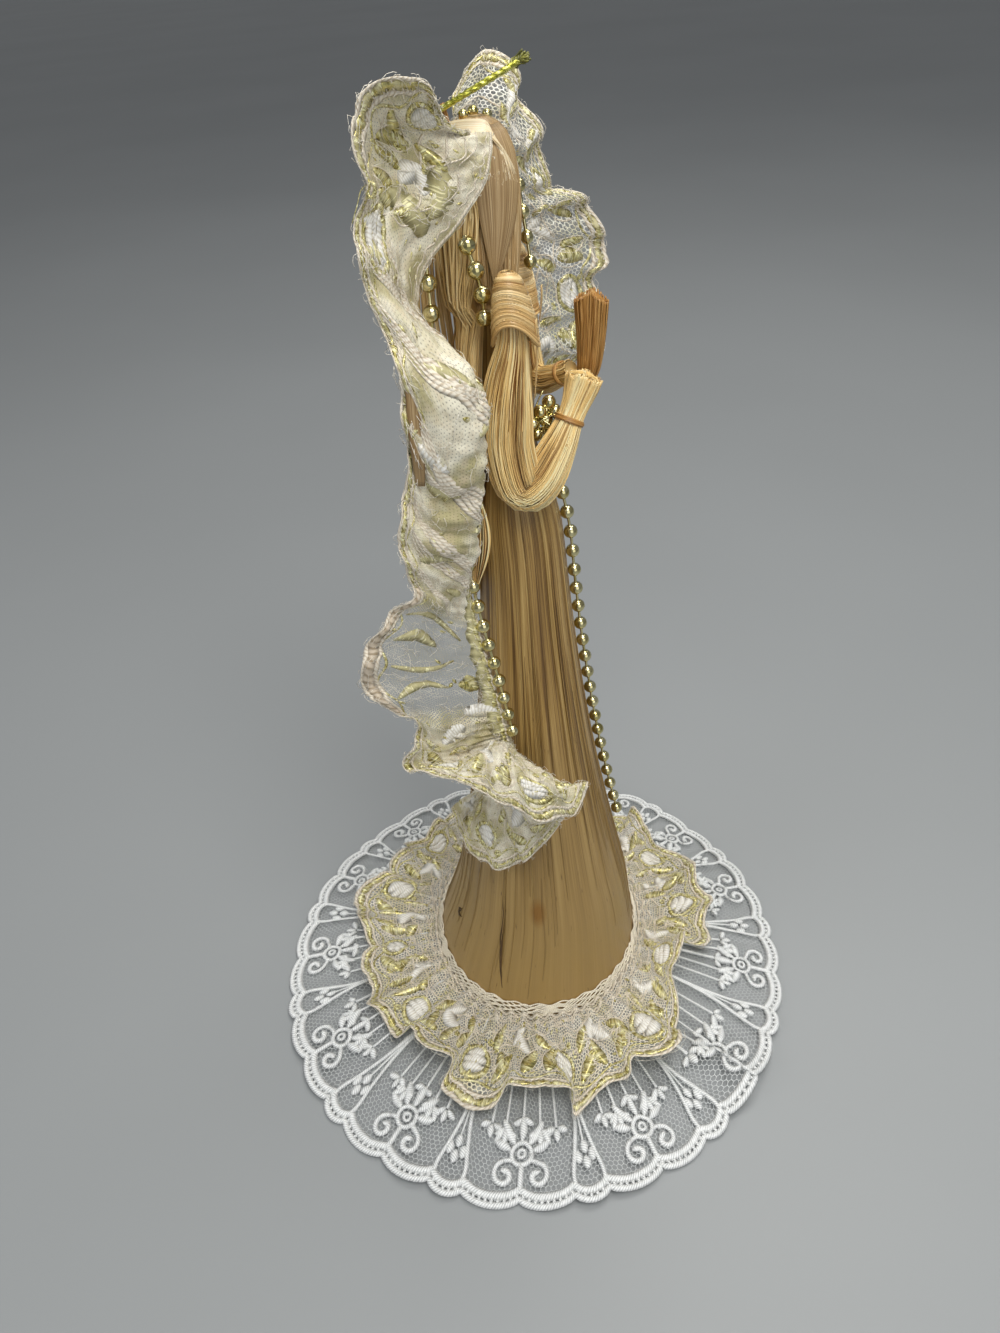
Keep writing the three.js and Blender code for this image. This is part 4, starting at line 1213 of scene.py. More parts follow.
def buildGarlands():
    heights, angles = np.array(beads["drape"], float).T
    front = gownPoint(np.radians(angles), heights, beads["radius"] + 0.3)
    routes = {
        "front_bead_garland": front,
        "right_neck_bead_garland": beads["right_neck_bead_garland"],
        "left_neck_bead_garland": beads["left_neck_bead_garland"],
        "right_wing_bead_garland": [
            (x - 0.8 * math.exp(-(((z - 168) / 12) ** 2)), y, z) for x, y, z in wings["right"]["root"][:-2]
        ],
        "left_wing_bead_garland": wings["left"]["root"][:-2],
    }
    for name, route in routes.items():
        body = Shape()
        radius = beads["leftNeckRadius" if name == "left_neck_bead_garland" else "radius"]
        addGarland(body, route, beads["neckPitch" if "neck" in name else "pitch"], radius)
        body.make(name + "_beads", paints["bead"], "gold_beads", [name])

    # some beads lie in a tangle of their thread on the chest, and three more sit on the crown
    tangle, rng = Shape(), np.random.default_rng(75)
    middles = [fromPhoto(*spot) for spot in beads["tangle"]]
    for spot in middles:
        addBead(tangle, spot, rng.normal(0, 1, 3), beads["tangleRadius"])
    loops = []
    while len(loops) < beads["tangleLoops"]:
        through = [middles[i] + rng.normal(0, 0.9, 3) for i in rng.permutation(len(middles))[:5]]
        loops.append(evenly(through, 0.5)[:14])
    tangle.strands(np.array(loops), 0.16, nearSide)
    tangle.make("front_garland_tangle", paints["bead"], "gold_beads")
    crown = Shape()
    for spot in beads["crown"]:
        addBead(crown, fromPhoto(*spot), (0, 1, 0.2), beads["crownRadius"])
    crown.make("crown_beads", paints["bead"], "gold_beads")


buildGarlands()


# Halo: a flat braid of metal cord on a ring that is higher at the front

halo = {
    "radius": 6.5, "tilt": 24.5, "middle": -0.4, "height": 203.9, "crossings": 15, "strand": 0.53,
    "swing": 0.62, "over": 0.14, "end": (-0.6, -6.6, 206.9), "endTurns": 5, "endRadius": 0.62, "frays": 34,
    "tuftStrands": 9, "tuftRadius": 0.26,
}


def buildHalo():
    body = Shape()
    t = np.linspace(0, tau, 260)
    tilt = math.radians(-halo["tilt"])
    lines = []
    for phase in range(3):
        swing = t * halo["crossings"] / 3 * 2 + phase * tau / 3
        reach = halo["radius"] + halo["swing"] * np.sin(swing)
        ahead, rise = reach * np.sin(t), halo["over"] * np.sin(2 * swing)
        y = ahead * math.cos(tilt) - rise * math.sin(tilt)
        z = ahead * math.sin(tilt) + rise * math.cos(tilt)
        lines.append(np.stack([reach * np.cos(t), halo["middle"] + y, halo["height"] + z], 1))
    body.strands(np.array(lines), halo["strand"], np.array([0.1, 0.2, 1.0]), sides=6, flat=0.62)
    body.make("halo_cord", paints["halo"], "gold_cord", ["halo"])
    # the cord's end, bound into a blunt dark knot
    tied, rng = Shape(), np.random.default_rng(76)
    k, end = shares(80), np.array(halo["end"])
    turn, wide = k * halo["endTurns"] * tau, halo["endRadius"] + 0.08 * np.sin(k * 31)
    rise = wide * 0.8 * np.sin(turn) + 0.4 - 0.8 * k
    wrap = end + np.stack([wide * np.cos(turn), -0.9 + 1.8 * k, rise], -1)
    tied.strands(wrap[None], 0.25, unit(wrap - end)[None], sides=5)
    k = shares(6)[None, :, None]
    lean = unit(0.24 * rng.normal(0, 1, (halo["frays"], 1, 3)) + (0, -1.0, 0.3))
    frays = end + rng.normal(0, 0.26, (halo["frays"], 1, 3)) + lean * (k * 2.1 - 0.4)
    tied.strands(frays, 0.17, np.array([-1.0, 0, 0.3]))
    tied.make("halo_tied_end", paints["haloEnd"], "gold_cord")
    # a short tuft holds the ring to the back of the crown
    k = shares(12)
    f = np.linspace(-1, 1, halo["tuftStrands"])[:, None]
    tuft = Shape()
    aside = 0.9 * f * (1 - 0.5 * k) - 0.4
    fibres = np.stack([aside, 4.6 + 0.9 * k + 0.2 * f**2, 197.6 + 4.2 * k + 0 * f], -1)
    tuft.strands(fibres, halo["tuftRadius"], np.array([0, 1.0, 0.2]), sides=5)
    tuft.make("halo_tuft", paints["dark"], "dark_straw")


buildHalo()
print("beads and halo are built")


# Lace: a cloth surface takes a run along the edge and a depth in from it, both in millimetres

def scallopLine(x, widths, depth):
    # how far the edge stands in from the outermost line
    ends = np.cumsum(widths)
    x = np.mod(x, ends[-1])
    i = np.searchsorted(ends, x, side="right")
    i = np.minimum(i, len(widths) - 1)
    share = (x - (ends[i] - np.array(widths)[i])) / np.array(widths)[i]
    return depth * (1 - np.sin(np.pi * np.clip(share, 0, 1)) ** 0.55)


def layCloth(body, surface, length, depth, edge, columns, rows, joined):
    run = np.arange(columns) / columns * length if joined else np.linspace(0, length, columns)
    share = shares(rows)
    x, f = np.meshgrid(run, share, indexing="ij")
    inset = edge(x)
    y = inset + (depth - inset) * f
    points = surface(x, y)
    us = np.linspace(0, length, columns + 1) if joined else run
    body.grid(points, us, share * depth, wrapU=joined)


def stitch(body, surface, lines, lift=0.16, puff=0.28):
    # raised threads and satin shapes: each line has its points on the cloth and a width at each
    for points, width in lines:
        points = np.asarray(points, float)
        width = np.broadcast_to(width, len(points)).astype(float)
        along = unit(np.gradient(points, axis=0))
        side = np.stack([-along[:, 1], along[:, 0]], 1) * width[:, None] / 2
        left, right = surface(*(points + side).T), surface(*(points - side).T)
        middle = surface(*points.T)
        ahead = np.gradient(middle, axis=0)
        normal = unit(np.cross(ahead, left - right))
        high = normal * (np.minimum(width, 1.4) * puff + lift * 0.5)[:, None]
        ring = np.stack([left, middle + high, right, middle - high], 1)
        around = float(points[0, 0]) + np.array([0, 0.3, 0.6, 0.9, 1.2])
        start = body.grid(ring, runAlong(points), around, wrapV=True)
        n = len(points)
        body.caps.append([start + k for k in range(4)])
        body.caps.append([start + (n - 1) * 4 + k for k in range(4)][::-1])


def leaf(x, y, turn, length, width, bend=0.0, steps=8):
    k = shares(steps)
    a = math.radians(turn)
    along, off = k * length, bend * np.sin(k * math.pi)
    px, py = x + along * math.cos(a) - off * math.sin(a), y + along * math.sin(a) + off * math.cos(a)
    return np.stack([px, py], 1), np.maximum(width * np.sin(np.pi * (0.06 + 0.88 * k)) ** 0.8, 0.1)


def ring(x, y, radiusX, radiusY, width, steps=16):
    t = np.linspace(0, tau * 1.02, steps)
    return np.stack([x + radiusX * np.cos(t), y + radiusY * np.sin(t)], 1), width


def scroll(x, y, radius, startTurn, turns, width, steps=20):
    # a spiral that winds in to its middle
    k = shares(steps)
    a = math.radians(startTurn) + turns * tau * k
    r = radius * (1 - 0.82 * k)
    return np.stack([x + r * np.cos(a), y + r * np.sin(a)], 1), width * (1 + 0.35 * k)


def line(points, width, step=1.15):
    return evenly(points, step), width


def addFuzz(name, surface, length, deep, count, seed, slot, radius=0.05):
    # fine fibres that have worked loose from the cloth and stand a little off it
    rng = np.random.default_rng(seed)
    steps = 4
    k = shares(steps)
    heading = rng.uniform(0, tau, count)[:, None] + rng.normal(0, 1.6, count)[:, None] * k
    step = rng.uniform(0.5, 1.4, count)[:, None]
    x = rng.uniform(0.5, length - 0.5, count)[:, None] + np.cumsum(np.cos(heading) * step, 1)
    y = (deep * rng.uniform(0, 1, count) ** 1.5)[:, None] + np.cumsum(np.sin(heading) * step, 1)
    x, y = np.clip(x, 0, length), np.clip(y, -0.5, deep)
    side = surface(x + 0.3, y) - surface(x - 0.3, y)
    normal = unit(np.cross(side, surface(x, y + 0.3) - surface(x, y - 0.3)))
    face = rng.choice([-1, 1], count)[:, None]
    off = face * (0.15 + rng.uniform(0.1, 0.8, count)[:, None] * np.sin(k * 2.4))
    body = Shape()
    body.strands(surface(x, y) + normal * off[..., None], radius, normal, sides=3)
    return body.make(name, paints["fuzz"], slot)


# White hem lace, flat on the floor round the foot

white = {
    "radius": 66, "repeats": 14, "scallops": (11.6, 11.2, 6.8), "depthOfScallop": 1.9, "deep": 40.0,
    "foldAngle": 240, "foldWidth": 0.075, "foldHeight": 3.6, "foldTurn": 0.085, "pleats": 84,
    "pleatHeight": 2.6, "waves": 9, "waveHeight": 1.3, "lowest": 0.52, "eyelet": 1.22, "columns": 1008,
    "rows": 16, "flower": 10.8,
    "petals": [(18, 4.2, 2.3), (52, 5.6, 2.6), (90, 5.2, 2.3), (128, 5.6, 2.6), (162, 4.2, 2.3)],
    # from the middle of the narrow scallop: half width and depth of its long drop
    "drop": [(2.9, 3.0), (3.2, 6.0), (2.1, 11.0), (0.9, 17), (0.3, 24), (0.2, 36)],
    "sprig": [(0, 7.4), (-1.6, 8.8), (1.6, 8.8), (0, 10.6)],
    "cords": [(-8.3, 16.5), (-4.4, 15.5), (0.0, 18.0), (4.4, 15.5), (8.6, 16.0)], "cordEnd": 37.5,
}
white["repeat"] = sum(white["scallops"])
white["length"] = white["repeat"] * white["repeats"]


def whiteSurface(x, y):
    x, y = np.broadcast_arrays(np.asarray(x, float), np.asarray(y, float))
    angle = x / white["length"] * tau
    v = 1 - y / white["deep"]
    off = (np.degrees(angle) - white["foldAngle"] + 180) % 360 - 180
    off = np.radians(off) / white["foldWidth"]
    turned = angle - white["foldTurn"] * off * np.exp(-(off**2)) * smoothStep(v, 0.2, 0.9)
    lapped = np.exp(-((off * 0.85) ** 2)) * smoothStep(v, 0.25, 1.0)
    along = stand[0] * np.cos(turned) + stand[1] * np.sin(turned)
    outer = -along + np.sqrt(along**2 + white["radius"] ** 2 - stand[0] ** 2 - stand[1] ** 2)
    hem = gownPoint(turned, 0.0, 0.5)
    inner = np.hypot(hem[..., 0], hem[..., 1])
    reach = inner + (outer - inner) * v
    gather = (1 - np.clip(v, 0, 1)) ** 1.1
    pleat = 0.5 + 0.5 * np.sin(angle * white["pleats"] + 2.0 * np.sin(angle * 5))
    wave = 0.5 + 0.5 * np.sin(angle * white["waves"] + 1.3 * np.sin(angle * 2))
    z = white["lowest"] + white["pleatHeight"] * gather * pleat
    z = z + white["waveHeight"] * wave * np.clip(v, 0, 1) ** 2 + white["foldHeight"] * lapped
    return np.stack([reach * np.cos(turned), reach * np.sin(turned), z], -1)


def whiteEdge(x):
    return scallopLine(x, white["scallops"], white["depthOfScallop"])


def whiteRepeat(x0):
    first, second, small = white["scallops"]
    joint = x0 + first
    parts = []
    # the flower at the joint of the two wide scallops, with petals towards the gown
    parts.append(ring(joint, white["flower"], 2.4, 2.2, 1.15))
    parts.append(ring(joint, white["flower"], 0.85, 0.8, 0.8, 10))
    for turn, length, width in white["petals"]:
        a = math.radians(turn)
        y = white["flower"] + 2.5 * math.sin(a)
        parts.append(leaf(joint + 2.8 * math.cos(a), y, turn, length, width))
    parts.append(line([(joint, 3.2), (joint, 6.0), (joint, 8.8)], 1.3))
    # a hooked scroll on each side of the stem
    for way in (-1, 1):
        parts.append(scroll(joint + way * 3.6, 6.6, 2.6, 100, -way * 1.1, 1.15))
        parts.append(line([(joint + way * x, y) for x, y in ((1.7, 9.4), (2.6, 9.6), (3.9, 9.2))], 1.0))
        parts.append(leaf(joint + way * 6.9, 12.6, 90 + way * 35, 3.6, 1.6))
    # the narrow scallop: a long drop with a sprig at its outer end
    mid = x0 + first + second + small / 2
    for way in (-1, 1):
        parts.append(line([(mid + way * x, y) for x, y in white["drop"]], 1.05))
    for shift, rise in white["sprig"]:
        parts.append(leaf(mid + shift, rise - 0.9, 90, 2.6, 2.1))
    parts.append(line([(mid, 11.5), (mid, 16), (mid, 22)], 0.5))
    # straight cords that run to the gather, each with a sprig of three at its end
    for shift, start in white["cords"]:
        x = joint + shift
        parts.append(line([(x, start), (x, start + 8), (x, white["cordEnd"])], 0.8))
        for turn in (205, 270, 335):
            a = math.radians(turn)
            parts.append(leaf(x + 0.4 * math.cos(a), start + 0.4 * math.sin(a), turn, 2.6, 1.8))
    return parts


def edgeBand(length, edge):
    # two broad satin cords with short bars between them, so that a row of small eyelets is left
    x = np.linspace(0, length, int(length / 0.6))
    y = edge(x)
    ripple = 0.06 * np.sin(x / white["eyelet"] * tau)
    parts = [(np.stack([x, y + 0.66], 1), 1.4 + ripple), (np.stack([x, y + 2.5], 1), 1.75 - ripple)]
    for place in np.arange(0, length, white["eyelet"]):
        top = edge(np.array([place]))[0]
        parts.append((np.array([[place, top + 1.1], [place, top + 1.5], [place, top + 1.9]]), 0.7))
    return parts


def buildWhiteLace():
    cloth, length, deep = Shape(), white["length"], white["deep"]
    inside = lambda x: whiteEdge(x) + 0.3
    layCloth(cloth, whiteSurface, length, deep, inside, white["columns"], white["rows"], True)
    # the net's grey paint is painted shade
    net = cloth.make("white_hem_net", paints["whiteNetPaintedShade"], "white_lace", ["white_hem_lace"])
    work = Shape()
    parts = edgeBand(length, whiteEdge)
    for k in range(white["repeats"]):
        parts += whiteRepeat(k * white["repeat"])
    stitch(work, whiteSurface, parts)
    embroidery = work.make("white_hem_embroidery", paints["whiteThread"], "white_lace")


buildWhiteLace()
print("the white lace is laid")


# Cream and gold lace: one ribbon pattern for the hem ring and the wings

cream = {
    "repeat": 27.5, "scallops": (9.2, 9.2, 9.1), "depthOfScallop": 0.9, "lump": 2.8, "barStep": 1.5,
    "rose": (8.0, 7.4),
    # petals of the rose: place across and along, length and width
    "petals": [(-1.3, -2.3, 4.6, 2.9), (1.3, -2.4, 4.8, 2.9), (0, -3.0, 6.0, 3.0), (0.5, -1.2, 2.8, 1.8)],
    # leaves: place along and in, turn, length and width
    "leaves": [(0.4, 5.2, 62, 5.6, 3.0), (14.0, 4.4, 35, 5.8, 3.0), (13.8, 10.6, 70, 5.2, 2.8),
               (19.4, 5.2, 110, 5.4, 2.9), (23.6, 4.4, 55, 5.4, 2.8), (3.4, 11.6, 128, 4.4, 2.5)],
    "dots": [(17.2, 8.8), (5.2, 4.2), (25.8, 8.4), (10.9, 12.4)],
    "buds": [(24.6, 10.4, 150, 6.4, 3.4), (18.6, 12.4, 40, 4.6, 2.8)],
    "waves": [(11.5, 0.0), (14.0, 2.1), (16.5, 4.0), (18.8, 5.5)],  # place in and phase
    "repeatGlints": 16, "oliveBand": (78, 136),
}


def creamEdge(x):
    return scallopLine(x, cream["scallops"], cream["depthOfScallop"])


def creamRepeat(x0, deep, rng, grow):
    threads, roses, gilt = [], [], []
    # a white satin rose, oval, with a gold outline
    x = x0 + cream["rose"][0] + rng.uniform(-0.8, 0.8)
    y = cream["rose"][1] + rng.uniform(-0.5, 0.5)
    swing, size = rng.uniform(-25, 25), grow * rng.uniform(0.8, 1.05)
    a = math.radians(swing)
    for off, along, length, width in cream["petals"]:
        off, along = off * size, along * size
        px = x - off * math.sin(a) + along * math.cos(a)
        py = y + off * math.cos(a) + along * math.sin(a)
        roses.append(leaf(px, py, swing, length * size, width * size, 0.4))
    gilt.append(ring(x, y, 3.5 * size, 2.9 * size, 1.2, 22))
    gilt.append(ring(x + 0.2, y, 0.8 * size, 0.6 * size, 0.6, 9))
    # gold leaves between two bent threads
    for x, y, turn, length, width in cream["leaves"]:
        x, turn = x + rng.uniform(-0.9, 0.9), turn + rng.uniform(-28, 28)
        gilt.append(leaf(x0 + x, y, turn, length * grow, width * grow, 0.4))
        threads.append(leaf(x0 + x - 0.5, y - 0.3, turn, length * grow + 1.0, 0.4, 1.6 * grow))
        threads.append(leaf(x0 + x + 0.4, y - 0.3, turn, length * grow + 1.0, 0.4, -1.6 * grow))
    for x, y in cream["dots"]:
        gilt.append(ring(x0 + x, y, 0.55, 0.45, 0.8, 8))
    for x, y, turn, length, width in cream["buds"]:
        roses.append(leaf(x0 + x, y, turn + rng.uniform(-20, 20), length * grow, width * grow, 0.4))
    for y, phase in cream["waves"]:
        run = np.linspace(0, cream["repeat"], 30)
        sway = 1.0 * np.sin(run * tau / cream["repeat"] * 2 + phase) + 0.3 * rng.normal() * np.sin(run * 0.8)
        threads.append((np.stack([x0 + run, y + sway], 1), 0.5))
    # single glints of metal thread
    count = cream["repeatGlints"]
    for x, y in zip(rng.uniform(0, cream["repeat"], count), rng.uniform(2.5, deep - 1, count)):
        gilt.append(leaf(x0 + x, y, rng.uniform(0, 180), 1.0, 0.6, steps=4))
    return threads, roses, gilt


def creamBorders(length, deep, rope, strip, heavy):
    x = np.linspace(0, length, int(length / 0.6))
    y = creamEdge(x)
    first, last, most = heavy
    rope = rope * (1 + most * smoothStep(x, first - 3, first + 3) * (1 - smoothStep(x, last - 3, last + 3)))
    lump = 1 + 0.25 * np.sin(x / cream["lump"] * tau + 0.6 * np.sin(x * 0.37))
    inset = lambda amount: np.stack([x, y + amount], 1)
    threads = [(inset(0.1), 0.7 * rope * lump), (inset(1.0 + rope), 0.6 * rope * lump)]
    gilt = [(inset(0.2 + 0.7 * rope), (1.35 + 0.45 * np.sin(x * 2.4)) * rope**0.5)]
    gilt.append((np.stack([x, 3.7 + 0.9 * np.sin(x / 9.17 * tau)], 1), 0.55))
    for place in np.arange(0, length, cream["barStep"]):
        top, wide = creamEdge(np.array([place]))[0], np.interp(place, x, rope)
        bar = [[place, top + 0.2], [place + 0.3, top + 0.6 + 0.5 * wide], [place, top + 1 + wide]]
        threads.append((np.array(bar), 0.45))
    threads.append((np.stack([x, deep - 0.6 + 0 * x], 1), 0.8))
    threads.append((np.stack([x, deep - 2.2 + 0.35 * np.sin(x * 1.9)], 1), 0.5))
    near = x > strip * length
    if near.sum() > 3:
        gilt.append((np.stack([x, deep - 1.3 + 0.25 * np.sin(x * 1.1)], 1)[near], 1.7))
    return threads, gilt


def embroiderCream(name, surface, length, deep, slot, rng, plan):
    threads, gilt = creamBorders(length, deep, plan["rope"], plan["strip"], plan["heavy"])
    roses = []
    for x0 in np.arange(0, length - cream["repeat"] * 0.5, cream["repeat"]):
        motifs = creamRepeat(x0, deep, rng, plan["grow"])
        for kept, part in zip((threads, roses, gilt), motifs):
            kept.extend((p, w) for p, w in part if not any(a < p[:, 0].mean() < b for a, b in plan["bare"]))
    k = shares(26)
    for x0, y0, x1, y1, width in plan["folds"]:
        for shift in (-0.7, 0, 0.8):
            x = x0 + (x1 - x0) * k + shift * width + 0.5 * np.sin(k * 9 + x0 + shift)
            threads.append((np.stack([x, y0 + (y1 - y0) * k], 1), width * (0.4 + 0.6 * np.sin(k * math.pi))))
    olive = [leaf(*motif) for motif in plan["olive"]]
    gilt += [leaf(*motif) for motif in plan["gold"]]
    roses += [leaf(*motif) for motif in plan["white"]]
    for x, y in zip(rng.uniform(0, length, plan["glints"]), rng.uniform(2.5, deep - 1, plan["glints"])):
        gilt.append(leaf(x, y, rng.uniform(0, 180), 1.4, 0.8, steps=4))
    first, last, heavier = plan["heavy"]
    rope = []
    if heavier:
        # a heavy rope along this stretch of the edge, and an olive band along the gathers
        x = np.linspace(*cream["oliveBand"], 70)
        olive.append((np.stack([x, deep - 2.2 + 0.3 * np.sin(x * 0.9)], 1), 3.2))
        x = np.linspace(first, last, 70)
        wide = 2.3 * (1 + 0.2 * np.sin(x / cream["lump"] * tau)) * taper(0.3, 0.3, 70) ** 0.3
        rope.append((np.stack([x, creamEdge(x) + 1.3], 1), wide))
    pieces = []
    for label, parts, paint in (
        ("threads", threads, "creamThread"), ("roses", roses, "roseThread"), ("gilt", gilt, "goldThread"),
        ("olive", olive, "olive"), ("rope", rope, "rope"),
    ):
        inside = [(p, w) for p, w in parts if p[:, 0].max() < length + 0.2 and p[:, 0].min() > -3]
        if inside:
            body = Shape()
            stitch(body, surface, inside, lift=0.1, puff=0.3 if label == "rope" else 0.08)
            pieces.append(body.make(f"{name}_{label}", paints[paint], slot))
    pieces.append(addFuzz(f"{name}_fuzz", surface, length, deep, plan["fuzz"], 83, slot))
    return pieces


ringLace = {
    "length": 357.5, "deep": 20.5, "reach": 18.5, "reachNear": 5, "nearAngle": 190, "waves": 11, "wave": 2.6,
    "height": 3.3, "lift": 6.5, "columns": 660, "rows": 18,
    "lobes": [(262, 15, -8), (216, 9, 2), (292, 10, 2.5), (104, 14, 2)],  # angle, width and added reach
    "grow": 1.25, "rope": 1.25, "strip": 1.0, "fuzz": 1400, "heavy": (0, 0, 0), "bare": [], "folds": [],
    "olive": [], "gold": [], "white": [], "glints": 260,
}
hemSeam = {"strands": 9, "steps": 270, "radius": 0.19, "pitch": 0.32}


def ringSurface(x, y):
    x, y = np.broadcast_arrays(np.asarray(x, float), np.asarray(y, float))
    angle = x / ringLace["length"] * tau
    v = 1 - y / ringLace["deep"]
    grow = np.clip(v, 0, 1.1)
    turned = angle + 0.045 * grow**2 * np.sin(angle * 22 + 1) + 0.03 * grow**2 * np.sin(angle * 11 + 2)
    wave = np.sin(angle * ringLace["waves"] + 1.3 * np.sin(angle * 3 + 2))
    wave = wave + 0.35 * np.sin(angle * 4 + 1) + 0.45 * np.sin(angle * 27 + 1.6 * np.sin(angle * 5))
    reach = ringLace["reach"] + ringLace["reachNear"] * np.cos(angle - math.radians(ringLace["nearAngle"]))
    for middle, wide, more in ringLace["lobes"]:
        reach = reach + more * np.exp(-((((np.degrees(angle) - middle + 180) % 360 - 180) / wide) ** 2))
    foot = gownPoint(turned, ringLace["height"], 0.8)
    inner = np.hypot(foot[..., 0], foot[..., 1])
    out = inner + v * (reach + ringLace["wave"] * wave * grow)
    rise = 0.5 * (1 + np.sin(angle * ringLace["waves"] + 2.2))
    z = ringLace["height"] + v * (0.8 + ringLace["lift"] * rise * grow)
    z = z + 0.7 * np.sin(angle * 33 + 1.1) * grow * v + 0.9 * (1 - grow) * np.sin(angle * 60)
    return np.stack([out * np.cos(turned), out * np.sin(turned), z], -1)


def buildRingLace():
    cloth, length, deep = Shape(), ringLace["length"], ringLace["deep"]
    layCloth(cloth, ringSurface, length, deep, creamEdge, ringLace["columns"], ringLace["rows"], True)
    net = cloth.make("gold_hem_net", paints["creamNet"], "cream_lace", ["gold_hem_lace"])
    rng = np.random.default_rng(81)
    pieces = embroiderCream("gold_hem", ringSurface, length, deep, "cream_lace", rng, ringLace)
    # a soft rolled seam where the lace is glued to the gown
    turn = np.linspace(0, tau * 1.01, hemSeam["steps"])
    seam = Shape()
    for shift in range(hemSeam["strands"]):
        sway = turn * (31 + shift % 4 * 5) + shift * 1.3
        high = ringLace["height"] - 0.3 + hemSeam["pitch"] * shift + 0.3 * np.sin(sway)
        strand = gownPoint(turn, high, 0.6 - 0.04 * shift + 0.25 * np.cos(sway))
        seam.strands(strand[None], hemSeam["radius"], unit(strand * (1, 1, 0))[None])
    pieces.append(seam.make("gold_hem_seam", paints["seam"], "cream_lace"))


wingLace = {
    "deep": 25.0, "waves": 9, "finePitch": 8.4, "columns": 540, "rows": 24, "crumple": 0.35, "rootPitch": 2.6,
    # a pixel of the photo and how far to the left
    "bladeLow": [(404, 366, -27.6), (407, 396, -28.6), (409, 428, -28.8), (413, 456, -28.6),
                 (417, 486, -27.6)],
    "bladeHigh": [(412, 362, -27.2), (417, 396, -28.2), (420, 428, -28.4), (423, 456, -28.2),
                  (424, 486, -27.2)],
    "loose": [(368, 184, -25.5), (361, 190, -26), (357, 206, -26.5), (352, 224, -27)],
    "curl": (371, 190, -25.5),
}


